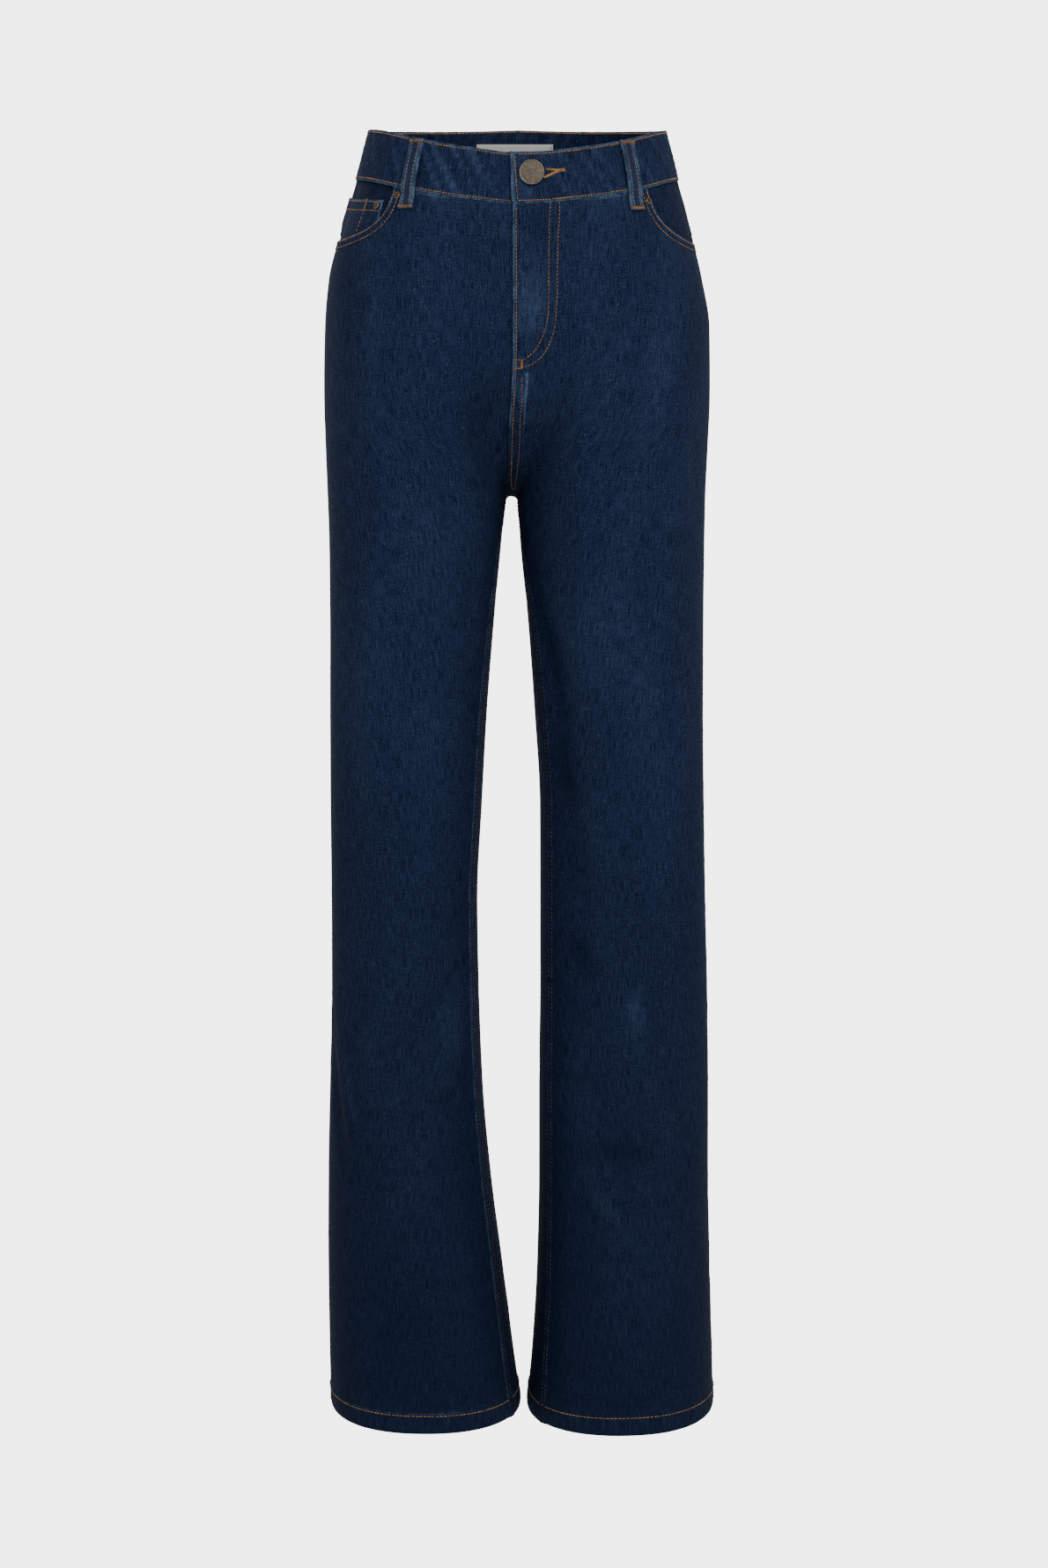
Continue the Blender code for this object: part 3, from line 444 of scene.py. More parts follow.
def smooth_curve(places: Sequence[float], values: Sequence[float], at: Array) -> Array:
    """Reads a smooth curve through given values that never overshoots them.

    Args:
        places: Where the values are given.
        values: The given values.
        at: Where the curve is read.

    Returns:
        The curve's values.
    """
    order = np.argsort(places)
    places = np.asarray(places, float)[order]
    values = np.asarray(values, float)[order]
    slopes = np.diff(values) / np.diff(places)
    tangents = np.zeros(len(values))
    product = slopes[:-1] * slopes[1:]
    total = np.where(np.abs(slopes[:-1] + slopes[1:]) < 1e-9, 1.0, slopes[:-1] + slopes[1:])
    tangents[1:-1] = np.where(product > 0, 2 * product / total, 0.0)
    tangents[0], tangents[-1] = slopes[0], slopes[-1]
    at = np.clip(np.asarray(at, float), places[0], places[-1])
    cell = np.clip(np.searchsorted(places, at) - 1, 0, len(places) - 2)
    width = places[cell + 1] - places[cell]
    share = (at - places[cell]) / width
    rest = 1 - share
    start = values[cell] * (1 + 2 * share) + tangents[cell] * width * share
    end = values[cell + 1] * (1 + 2 * rest) - tangents[cell + 1] * width * rest
    return start * rest**2 + end * share**2


def read(table: Sequence[NamedTuple], column: str, at: Array) -> Array:
    """Reads a table's column, by name, at places of its first column."""
    return smooth_curve([row[0] for row in table], [getattr(row, column) for row in table], at)


def ease(value: Array, start: float, end: float) -> Array:
    """0 before start and 1 after end, with a soft change between them."""
    share = np.clip((value - start) / (end - start), 0.0, 1.0)
    return share * share * (3 - 2 * share)


def uneven(value: Array, seed: float) -> Array:
    """Smooth waves of mixed lengths about 0, for what handwork leaves uneven."""
    wave = np.sin(value + seed) + 0.6 * np.sin(value * 0.43 + 2.1 * seed)
    return (wave + 0.7 * np.sin(value * 1.71 + 0.9 * np.sin(value * 0.31 + seed))) / 2.3


def seam_depth(above: Array, column: str, furthest: Array) -> Array:
    """Y of the front or back rise seam, which never lies beyond the panels beside it.

    Args:
        above: Heights above the crotch.
        column: Front or back.
        furthest: Y of the panels.

    Returns:
        The seam's Y.
    """
    seam = read(RISES, column, above)
    if column == "front":
        return np.maximum(seam, furthest + LEAST_NOTCH)
    return np.minimum(seam, furthest - LEAST_NOTCH)


def section_sizes(side: Side, heights: Array) -> dict:
    """The sizes that make one leg's section at each height.

    Args:
        side: The leg.
        heights: The sections' heights.

    Returns:
        Each size by name, as a column.
    """
    heights = np.asarray(heights, float).reshape(-1, 1)
    above = heights - CROTCH
    size = {name: read(DEPTHS, name, heights) for name in ("front", "side", "back")}
    size["outer"] = read(WIDTHS, side.value, heights)
    size["middle"] = side.sign * read(MIDDLES, "height", heights)
    leg_outer = np.minimum(heights, CROTCH)
    axis = (read(WIDTHS, side.value, leg_outer) + read(INNERS, side.value, leg_outer)) / 2
    size["axis"] = axis * read(RISES, "axis", above)
    size["inseam"] = np.radians(read(INSEAMS, side.value, heights))
    size["sunk"] = np.clip(-above / NOTCH_RADIUS, 0.0, 1.0)
    higher = np.maximum(above + NOTCH_RADIUS, 0.0)
    for name in ("front", "back"):
        furthest = size[name]
        start = seam_depth(np.maximum(above, 0), name, furthest)
        start = np.where(above > 0, start, size["side"])
        later = seam_depth(higher, name, read(DEPTHS, name, CROTCH + higher))
        size["seam_" + name] = start
        size["run_" + name] = np.clip(np.abs(later - start), LEAST_NOTCH, np.abs(furthest - start))
        share = np.abs(start - size["side"]) / np.abs(furthest - size["side"])
        angle = np.arcsin(np.clip(share, 0, 1) ** (ROUNDNESS / 2))
        size["angle_" + name] = np.where(above > 0, angle, 0.0)
    size["inner"] = read(INNERS, side.value, np.minimum(heights, CROTCH))
    size["above"] = above
    return size


def section_points(size: dict, angle: Array) -> tuple[Array, Array]:
    """Points of one leg's sections.

    Args:
        size: What section_sizes gives.
        angle: 0 inside, 90 in front and 180 degrees outside.

    Returns:
        X outward and Y.
    """
    cosine, sine = np.cos(angle), np.sin(angle)
    across = np.sign(cosine) * np.abs(cosine) ** (2 / ROUNDNESS)
    along = np.sign(sine) * np.abs(sine) ** (2 / ROUNDNESS)
    reach = np.where(cosine < 0, size["outer"] - size["axis"], size["axis"] - size["inner"])
    depth = np.where(sine >= 0, size["side"] - size["front"], size["back"] - size["side"])
    x = size["axis"] - reach * across
    y = size["side"] - depth * along
    seam = np.where(sine >= 0, size["seam_front"], size["seam_back"])
    run = np.where(sine >= 0, size["run_front"], size["run_back"])
    share = np.clip(size["sunk"] + (1 - size["sunk"]) * np.abs(y - seam) / run, 0, 1)
    notch = np.sqrt(1 - (1 - share) ** 2)
    x = np.where(cosine > 0, size["middle"] + (x - size["middle"]) * notch, x)
    return x, y


def arcs(side: Side, part: Part, heights: Array) -> tuple[Array, Array]:
    """Front or back of one leg's sections, between their seams.

    Args:
        side: The leg.
        part: Its front or back.
        heights: The sections' heights.

    Returns:
        X outward and Y, a row a height.
    """
    size = section_sizes(side, heights)
    steps = np.linspace(0, 1, SAMPLES).reshape(1, -1)
    quarter = math.pi / 2
    if part is Part.FRONT:
        first = np.where(size["above"] > 0, size["angle_front"], size["inseam"])
        outside = quarter + quarter * steps[:, 1:] + 0 * first
        angle = np.hstack([first + (quarter - first) * steps**2, outside])
    else:
        last = 4 * quarter - size["angle_back"]
        past = np.where(size["above"] > 0, 0.0, size["inseam"])
        inside = last - (last - 3 * quarter) * (1 - steps) ** 2
        outside = 2 * quarter + quarter * steps + 0 * last
        angle = np.hstack([outside, inside[:, 1:], last + past * steps[:, 1:]])
    return section_points(size, angle)


def arc_lengths(x: Array, y: Array) -> Array:
    """Distance along each row of points."""
    steps = np.hypot(np.diff(x, axis=1), np.diff(y, axis=1))
    return np.hstack([np.zeros((len(x), 1)), np.cumsum(steps, axis=1)])


@functools.lru_cache(maxsize=None)
def form_table(side: Side, part: Part) -> tuple[Array, Array, Array, Array]:
    """Tabulates the form of a leg's front or back once, close enough to be read between its places.

    Args:
        side: The leg.
        part: Its front or back.

    Returns:
        The heights, X outward and Y at even shares of the cloth's length, and that length.
    """
    heights = np.unique(np.concatenate([np.arange(-1106, 16, 2.0), np.arange(-312, -286, 0.25)]))
    x, y = arcs(side, part, heights)
    length = arc_lengths(x, y)
    shares = np.linspace(0, 1, TABLE_SHARES)
    even_x = np.stack([np.interp(shares * run[-1], run, row) for run, row in zip(length, x)])
    even_y = np.stack([np.interp(shares * run[-1], run, row) for run, row in zip(length, y)])
    return heights, even_x, even_y, length[:, -1]


def table_cell(places: Array, at: Array) -> tuple[Array, Array]:
    """The cell of a table that a place falls in.

    Args:
        places: The table's places, upward.
        at: Where it is read.

    Returns:
        The number of the cell, and how far along it the place lies.
    """
    cell = np.clip(np.searchsorted(places, at) - 1, 0, len(places) - 2)
    share = (at - places[cell]) / (places[cell + 1] - places[cell])
    return cell, np.clip(share, 0, 1)


def form(side: Side, turn: Array, height: Array) -> Array:
    """Points of the garment's outer form, before folds.

    Args:
        side: The leg.
        turn: Turns of the points.
        height: Their heights.

    Returns:
        The points.
    """
    turn, height = np.broadcast_arrays(np.asarray(turn, float), np.asarray(height, float))
    shape = turn.shape
    turn, height = turn.ravel(), height.ravel()
    points = np.zeros((len(turn), 3))
    for part, chosen in ((Part.FRONT, turn <= 1), (Part.BACK, turn > 1)):
        if chosen.any():
            heights, x, y, _ = form_table(side, part)
            row, up = table_cell(heights, height[chosen])
            share = np.clip(turn[chosen] - (part is Part.BACK), 0, 1)
            column, across = table_cell(np.linspace(0, 1, TABLE_SHARES), share)
            found = []
            for values in (x, y):
                low = values[row, column] * (1 - across) + values[row, column + 1] * across
                high = values[row + 1, column] * (1 - across) + values[row + 1, column + 1] * across
                found.append(low * (1 - up) + high * up)
            points[chosen] = np.stack([side.sign * found[0], found[1], height[chosen]], axis=1)
    return points.reshape(shape + (3,))


def normals(side: Side, turn: Array, height: Array) -> Array:
    """Outward directions of the form.

    Args:
        side: The leg.
        turn: Turns of the places.
        height: Their heights.

    Returns:
        The directions, of length 1.
    """
    turn, height = np.broadcast_arrays(np.asarray(turn, float), np.asarray(height, float))
    step = 0.01
    lower, upper = np.clip(turn - step, 0, 2), np.clip(turn + step, 0, 2)
    across = form(side, upper, height) - form(side, lower, height)
    upward = form(side, turn, height + 2) - form(side, turn, height - 2)
    normal = np.cross(across, upward) * side.sign
    return normal / np.linalg.norm(normal, axis=-1, keepdims=True)


def leg_girth(side: Side, part: Part, height: Array) -> Array:
    """Length of cloth between two seams at a height."""
    heights, _, _, girth = form_table(side, part)
    return np.interp(height, heights, girth)


def sum_of(marks: dict, side: Side, turn: Array, height: Array) -> Array:
    """Adds up a leg's marks.

    Args:
        marks: The marks of each side.
        side: The leg.
        turn: Turns of the places.
        height: Heights of the places.

    Returns:
        The sum at each place.
    """
    total = np.zeros(np.broadcast(turn, height).shape)
    for mark in marks[side]:
        part = Part.FRONT if mark.turn < 1 else Part.BACK
        girth = leg_girth(side, part, mark.height)
        off = (turn - mark.turn) * girth - mark.lean * (height - mark.height)
        along = (height - mark.height) / mark.length
        total = total + mark.strength * np.exp(-((off / mark.width) ** 2) - along**2 * 2)
    return total


def place(side: Side, turn: Array, height: Array, lift: Array = 0.0) -> Array:
    """Points on the folded and creased cloth, raised along its outward direction."""
    raised = sum_of(FOLDS, side, turn, height) + sum_of(CREASES, side, turn, height) + lift
    return form(side, turn, height) + normals(side, turn, height) * raised[..., None]


def turn_at(side: Side, part: Part, x: Array, height: Array) -> Array:
    """The turn at which the form passes a place across the body.

    Args:
        side: The leg.
        part: Its front or back.
        x: The place across.
        height: Its height.

    Returns:
        The turn.
    """
    x, height = np.broadcast_arrays(np.asarray(x, float), np.asarray(height, float))
    heights, table, _, _ = form_table(side, part)
    cell, up = table_cell(heights, height.ravel())
    rows = table[cell] * (1 - up)[:, None] + table[cell + 1] * up[:, None]
    shares = np.linspace(0, 1, TABLE_SHARES)
    order = slice(None) if part is Part.FRONT else slice(None, None, -1)
    outward = side.sign * x.ravel()
    found = np.array([np.interp(v, row[order], shares[order]) for v, row in zip(outward, rows)])
    return (found + (part is Part.BACK)).reshape(x.shape)


def band_seam(side: Side, turn: Array) -> Array:
    """Height of the band's lower edge."""
    return read(TOP_EDGE, side.value, turn) - BAND_HEIGHT


def hem_edge(side: Side, turn: Array) -> Array:
    """Height of a leg's hem."""
    return HEM[side] + read(HEM_EDGE, "height", turn)


def slid(distance: Array, above: Array) -> Array:
    """Distance from the middle of the front to cloth at a distance from the lap's own edge."""
    return distance - FLY_LAP * ease(above, *FLY_LAP_RISE) * (1 - ease(distance, *FLY_LAP_FADE))


def lapped(distance: Array, heights: Array, lifts: Array) -> Array:
    """Points of the left front, its edge raised and carried past the middle over the right front.

    Args:
        distance: Distance along the cloth from the panel's own front edge.
        heights: Heights of the points.
        lifts: How far they are raised off the form.

    Returns:
        The points.
    """
    above = heights - CROTCH
    girth = leg_girth(Side.LEFT, Part.FRONT, heights)
    lifts = lifts + FLY_LIFT * ease(above, *FLY_LIFT_RISE) * (1 - ease(distance, *FLY_LIFT_FADE))
    along = slid(distance, above)
    points = place(Side.LEFT, np.maximum(along, 0) / girth, heights, lifts)
    past = along < 0
    if past.any():
        over = -along[past] / leg_girth(Side.RIGHT, Part.FRONT, heights[past])
        points[past] = place(Side.RIGHT, over, heights[past], lifts[past])
    return points


def lap_distance(x: Array, heights: Array) -> Array:
    """Distance from the left front's own edge.

    Args:
        x: Places across the body.
        heights: Their heights.

    Returns:
        The distances along the cloth.
    """
    found = []
    for value, height in zip(x, heights):
        if value >= float(read(MIDDLES, "height", height)):
            girth = leg_girth(Side.LEFT, Part.FRONT, height)
            along = float(turn_at(Side.LEFT, Part.FRONT, value, height)) * girth
        else:
            along = value - float(read(MIDDLES, "height", height))
        distances = np.linspace(0, 60, 241)
        found.append(np.interp(along, slid(distances, height - CROTCH), distances))
    return np.array(found)


def body_points(x: Array, heights: Array, part: Part, lifts: Array) -> Array:
    """Points of the front or back, on whichever leg they fall.

    Args:
        x: Places across the body.
        heights: Their heights.
        part: Front or back.
        lifts: How far off the form they are.

    Returns:
        The points.
    """
    x, heights, lifts = np.broadcast_arrays(x, heights, lifts)
    points = np.zeros(x.shape + (3,))
    centre = read(MIDDLES, "height", heights)
    for side, chosen in ((Side.RIGHT, x < centre), (Side.LEFT, x >= centre)):
        if chosen.any():
            turns = turn_at(side, part, x[chosen], heights[chosen])
            points[chosen] = place(side, turns, heights[chosen], lifts[chosen])
    return points


def mouth_curve(side: Side, count: int, inward: float = 0.0) -> tuple[Array, Array]:
    """The front pocket's mouth, from where it meets the band to the outseam.

    Args:
        side: The pocket's side.
        count: How many points the curve has, spread evenly along it.
        inward: How far from the mouth the curve runs, in the front's own cloth.

    Returns:
        Turns of the points and how far they lie below the band.
    """
    curve = MOUTH_CURVE[side]
    angles = np.linspace(0, math.pi / 2, 240)
    reach = 1 - MOUTH_START[side] + inward / FRONT_ACROSS
    across = reach * np.abs(np.cos(angles)) ** (2 / curve)
    drops = (MOUTH_DEPTH[side] + inward) * np.sin(angles) ** (2 / curve)
    steps = np.hypot(np.diff(across) * FRONT_ACROSS, np.diff(drops))
    length = np.concatenate([[0], np.cumsum(steps)])
    even = np.linspace(0, length[-1], count)
    return 1 - np.interp(even, length, across), np.interp(even, length, drops)


class Graph:
    """Builds a node tree from short calls."""

    def __init__(self, tree: bpy.types.NodeTree) -> None:
        """Takes the tree to build in."""
        self.tree = tree

    def feed(self, socket: bpy.types.NodeSocket, value: object) -> None:
        """Gives an input what it takes.

        Args:
            socket: The input.
            value: An output to link to it, or a plain value.
        """
        if isinstance(value, bpy.types.NodeSocket):
            self.tree.links.new(value, socket)
        else:
            socket.default_value = value

    def add(self, kind: str, inputs: dict, **settings: object) -> bpy.types.Node:
        """Adds a node.

        Args:
            kind: The node's type.
            inputs: Values or outputs for its inputs, by name or number.
            **settings: The node's own options.

        Returns:
            The node.
        """
        node = self.tree.nodes.new(kind)
        for name, value in settings.items():
            setattr(node, name, value)
        for name, value in inputs.items():
            self.feed(node.inputs[name], value)
        return node

    def math(self, operation: str, first: object, second: object = 0.0) -> bpy.types.NodeSocket:
        """The result of a sum, product or other operation on two values."""
        return self.add("ShaderNodeMath", {0: first, 1: second}, operation=operation).outputs[0]

    def total(self, *parts: tuple) -> bpy.types.NodeSocket:
        """The sum of values, each with its own share.

        Args:
            *parts: Pairs of a value and its share.

        Returns:
            The sum.
        """
        found = None
        for value, share in parts:
            part = self.math("MULTIPLY", value, share)
            found = part if found is None else self.math("ADD", found, part)
        return found

    def mix(self, share: object, first: object, second: object) -> bpy.types.NodeSocket:
        """A colour between two others."""
        inputs = {0: share, 6: first, 7: second}
        return self.add("ShaderNodeMix", inputs, data_type="RGBA").outputs[2]

    def span(
        self, value: object, low: float, high: float, to: tuple = (0.0, 1.0)
    ) -> bpy.types.NodeSocket:
        """A value spread softly from one range over another.

        Args:
            value: The value.
            low: Lower end of its range.
            high: Upper end of it.
            to: The range it is spread over.

        Returns:
            The new value.
        """
        inputs = {"Value": value, "From Min": low, "From Max": high}
        inputs |= {"To Min": to[0], "To Max": to[1]}
        return self.add("ShaderNodeMapRange", inputs, interpolation_type="SMOOTHSTEP").outputs[0]

    def noise(self, vector: object, scale: tuple, detail: float = 2.0) -> bpy.types.NodeSocket:
        """Noise in a place.

        Args:
            vector: The place, in metres.
            scale: How often the noise changes in a metre, along each direction.
            detail: How much finer noise it holds.

        Returns:
            The noise, about 0.5.
        """
        stretched = self.add("ShaderNodeMapping", {"Vector": vector, "Scale": scale}).outputs[0]
        inputs = {"Vector": stretched, "Scale": 1.0, "Detail": detail, "Roughness": 0.6}
        return self.add("ShaderNodeTexNoise", inputs).outputs[0]


@dataclass(frozen=True)
class Effects:
    """The shader node groups that the finishes share."""

    def _group(self, name: str, inputs: Sequence[tuple], outputs: Sequence[str]) -> tuple:
        """Starts a group.

        Args:
            name: The group's name.
            inputs: Name, socket type and default of each input.
            outputs: Name of each output, a plain number.

        Returns:
            The group, its graph, its input node and its output node.
        """
        group = bpy.data.node_groups.new(name, "ShaderNodeTree")
        for label, kind, value in inputs:
            socket = group.interface.new_socket(label, in_out="INPUT", socket_type=kind)
            if value is not None:
                socket.default_value = value
        for label in outputs:
            group.interface.new_socket(label, in_out="OUTPUT", socket_type="NodeSocketFloat")
        graph = Graph(group)
        return group, graph, graph.add("NodeGroupInput", {}), graph.add("NodeGroupOutput", {})

    @functools.lru_cache(maxsize=None)
    def yarns(self) -> bpy.types.NodeTree:
        """Twill lines, slub, pale specks and cloudiness of woven denim, from the cloth's metres.

        Returns:
            The group.
        """
        group, graph, given, made = self._group(
            "denim_yarns",
            (("Cloth", "NodeSocketVector", None), ("Pitch", "NodeSocketFloat", 0.0016)),
            ("Height", "Threads", "Specks", "Clouds", "Mottle"),
        )
        cloth = given.outputs["Cloth"]
        split = graph.add("ShaderNodeSeparateXYZ", {0: cloth})
        wander = graph.math("MULTIPLY", graph.noise(cloth, (260, 90, 1)), 0.0006)
        run = graph.math("ADD", graph.math("MULTIPLY", split.outputs[1], 0.62), split.outputs[0])
        turns = graph.math("DIVIDE", graph.math("ADD", run, wander), given.outputs["Pitch"])
        line = graph.math("SINE", graph.math("MULTIPLY", turns, 2 * math.pi))
        warp = graph.noise(cloth, (1150, 70, 1), 2.0)
        weft = graph.noise(cloth, (80, 1250, 1), 1.0)
        grain = graph.noise(cloth, (1250, 1050, 1), 1.0)
        woven = graph.total((warp, 0.95), (weft, 0.3))
        height = graph.total((line, 0.22), (woven, 0.7), (grain, 0.9))
        threads = graph.total((woven, 0.42), (grain, 0.48), (line, 0.03))
        specks = graph.span(graph.noise(cloth, (760, 420, 1), 1.0), 0.65, 0.75)
        thinned = graph.span(graph.noise(cloth, (70, 24, 1), 2.0), 0.36, 0.62)
        graph.feed(made.inputs["Height"], height)
        graph.feed(made.inputs["Threads"], graph.span(threads, 0.42, 0.58))
        graph.feed(made.inputs["Specks"], graph.math("MULTIPLY", specks, thinned))
        graph.feed(made.inputs["Clouds"], graph.noise(cloth, (22, 7, 1), 1.0))
        mottle = graph.noise(cloth, (330, 150, 1), 1.0)
        graph.feed(made.inputs["Mottle"], graph.span(mottle, 0.3, 0.7))
        return group

    @functools.lru_cache(maxsize=None)
    def rubbing(self) -> bpy.types.NodeTree:
        """How strongly an edge is rubbed pale, in broken patches, from the distance to it.

        Returns:
            The group.
        """
        group, graph, given, made = self._group(
            "rubbed_edge",
            (
                ("Cloth", "NodeSocketVector", None),
                ("Distance", "NodeSocketFloat", 40.0),
                ("Reach", "NodeSocketFloat", 2.0),
            ),
            ("Mask",),
        )
        cloth = given.outputs["Cloth"]
        share = graph.math("DIVIDE", given.outputs["Distance"], given.outputs["Reach"])
        near = graph.span(share, 0.1, 1.0, (1.0, 0.0))
        broken = graph.span(graph.noise(cloth, (130, 70, 1), 3.0), 0.34, 0.62, (0.12, 1.0))
        yarn = graph.span(graph.noise(cloth, (900, 600, 1), 2.0), 0.32, 0.62, (0.2, 1.0))
        mask = graph.math("MULTIPLY", graph.math("MULTIPLY", near, broken), yarn)
        graph.feed(made.inputs["Mask"], mask)
        return group

    @functools.lru_cache(maxsize=None)
    def tarnish(self) -> bpy.types.NodeTree:
        """Uneven darkening of old metal, and its fine dents, from a position.

        Returns:
            The group.
        """
        group, graph, given, made = self._group(
            "tarnish", (("Position", "NodeSocketVector", None),), ("Mask", "Height")
        )
        place_in = given.outputs["Position"]
        blotches = graph.noise(place_in, (420,) * 3, 4.0)
        graph.feed(made.inputs["Mask"], graph.span(blotches, 0.35, 0.68))
        graph.feed(made.inputs["Height"], graph.noise(place_in, (1500,) * 3, 2.0))
        return group


EFFECTS = Effects()


class Finish:
    """A finish that makes its material once."""

    name: str

    def material(self) -> bpy.types.Material:
        """The finish's material, made at its first use.

        Returns:
            The material.
        """
        found = bpy.data.materials.get(self.name)
        if found:
            return found
        made = bpy.data.materials.new(self.name)
        made.use_nodes = True
        made.node_tree.nodes.clear()
        graph = Graph(made.node_tree)
        shader = graph.add("ShaderNodeBsdfPrincipled", {})
        graph.add("ShaderNodeOutputMaterial", {"Surface": shader.outputs[0]})
        self.dress(graph, shader)
        return made

    def dress(self, graph: Graph, shader: bpy.types.Node) -> None:
        """Builds the finish's own nodes."""


@dataclass(frozen=True)
class Denim(Finish):
    """Indigo twill: colours of its yarns, of its rubbed edges and of its specks."""

    name: str
    deep: tuple = (0.0008, 0.0026, 0.0100, 1)
    dark: tuple = (0.0002, 0.0016, 0.0100, 1)
    mid: tuple = (0.0124, 0.0205, 0.0525, 1)
    worn: tuple = (0.0270, 0.0460, 0.0950, 1)
    rubbed: tuple = (0.060, 0.105, 0.165, 1)
    speck: tuple = (0.085, 0.12, 0.17, 1)
    reach: float = 2.6
    relief: float = 0.00022

    def dress(self, graph: Graph, shader: bpy.types.Node) -> None:
        """Builds the twill, its fading, its painted shade and highlights, and its rubbed edges.

        Args:
            graph: The material's graph.
            shader: Its shader.
        """
        cloth = graph.add("ShaderNodeUVMap", {}, uv_map="cloth").outputs[0]
        yarns = graph.add("ShaderNodeGroup", {}, node_tree=EFFECTS.yarns())
        graph.feed(yarns.inputs["Cloth"], cloth)
        mark = {
            name: graph.add("ShaderNodeAttribute", {}, attribute_name=name).outputs["Fac"]
            for name in ("rub", "fade", "gather", "dusk")
        }
        rubbing = graph.add("ShaderNodeGroup", {"Cloth": cloth}, node_tree=EFFECTS.rubbing())
        graph.feed(rubbing.inputs["Distance"], mark["rub"])
        graph.feed(rubbing.inputs["Reach"], self.reach)
        out = yarns.outputs
        colour = graph.mix(out["Threads"], self.dark, self.mid)
        colour = graph.mix(graph.math("MULTIPLY", out["Mottle"], 0.08), colour, self.worn)
        # Pale and dark marks, painted shade and highlights among them, added to the cloudy tone.
        clouds_and_shade = graph.math("ADD", graph.span(out["Clouds"], 0.3, 0.7, (-0.14, 0.10)), mark["fade"])
        broken = graph.math("ADD", graph.math("MULTIPLY", out["Mottle"], 0.3), 0.2)
        broken = graph.math("ADD", graph.math("MULTIPLY", out["Threads"], 0.6), broken)
        # Paler: faded places and painted highlights, mixed toward the worn colour.
        paler = graph.math("MULTIPLY", graph.math("MAXIMUM", clouds_and_shade, 0.0), broken)
        colour = graph.mix(paler, colour, self.worn)
        # Darker: cloudy tone and painted shade, mixed toward the deep colour.
        darker = graph.math("MULTIPLY", graph.math("MINIMUM", clouds_and_shade, 0.0), -0.7)
        colour = graph.mix(darker, colour, self.deep)
        streak = graph.span(graph.noise(cloth, (330, 45, 1), 2.0), 0.42, 0.75)
        gathered = graph.math("MULTIPLY", graph.math("MULTIPLY", mark["gather"], streak), 0.5)
        colour = graph.mix(gathered, colour, self.rubbed)
        colour = graph.mix(graph.math("MULTIPLY", out["Specks"], 0.42), colour, self.speck)
        colour = graph.mix(mark["dusk"], colour, self.deep)
        rubbed = graph.math("MULTIPLY", rubbing.outputs["Mask"], 0.85)
        colour = graph.mix(rubbed, colour, self.rubbed)
        graph.feed(shader.inputs["Base Color"], colour)
        graph.feed(shader.inputs["Roughness"], graph.span(out["Threads"], 0.0, 1.0, (0.92, 0.78)))
        shader.inputs["Specular IOR Level"].default_value = 0.05
        bump = {"Height": out["Height"], "Strength": 0.45, "Distance": self.relief}
        graph.feed(shader.inputs["Normal"], graph.add("ShaderNodeBump", bump).outputs[0])


@dataclass(frozen=True)
class SewingThread(Finish):
    """Twisted sewing thread of one colour with lighter and darker lengths."""

    name: str
    light: tuple
    dark: tuple

    def dress(self, graph: Graph, shader: bpy.types.Node) -> None:
        """Builds the thread's twist and its uneven colour.

        Args:
            graph: The material's graph.
            shader: Its shader.
        """
        place_in = graph.add("ShaderNodeTexCoord", {}).outputs["Object"]
        patchy = graph.span(graph.noise(place_in, (120, 120, 90), 3.0), 0.32, 0.68)
        graph.feed(shader.inputs["Base Color"], graph.mix(patchy, self.dark, self.light))
        graph.feed(shader.inputs["Roughness"], graph.span(patchy, 0.0, 1.0, (0.75, 0.6)))
        shader.inputs["Specular IOR Level"].default_value = 0.3
        twist = graph.noise(place_in, (2600, 2600, 2600), 1.0)
        bump = {"Height": twist, "Strength": 0.5, "Distance": 0.0002}
        graph.feed(shader.inputs["Normal"], graph.add("ShaderNodeBump", bump).outputs[0])


@dataclass(frozen=True)
class OldMetal(Finish):
    """Plated metal with tarnish in it and a brighter rim: rubbed metal, brightened also as a
    painted highlight.
    """

    name: str
    bright: tuple
    dull: tuple
    shine: tuple = (0.34, 0.52)

    def dress(self, graph: Graph, shader: bpy.types.Node) -> None:
        """Builds the metal's tarnish.

        Args:
            graph: The material's graph.
            shader: Its shader.
        """
        place_in = graph.add("ShaderNodeTexCoord", {}).outputs["Object"]
        tarnish = graph.add("ShaderNodeGroup", {"Position": place_in}, node_tree=EFFECTS.tarnish())
        # Rim mask: rubbed metal, brightened also as a painted highlight.
        rim = graph.add("ShaderNodeAttribute", {}, attribute_name="rim").outputs["Fac"]
        mask = graph.math("MAXIMUM", graph.math("MULTIPLY", tarnish.outputs["Mask"], 0.35), rim)
        graph.feed(shader.inputs["Base Color"], graph.mix(mask, self.dull, self.bright))
        graph.feed(shader.inputs["Roughness"], graph.span(mask, 0.0, 1.0, self.shine[::-1]))
        shader.inputs["Metallic"].default_value = 0.85
        bump = {"Height": tarnish.outputs["Height"], "Strength": 0.35, "Distance": 0.0001}
        graph.feed(shader.inputs["Normal"], graph.add("ShaderNodeBump", bump).outputs[0])


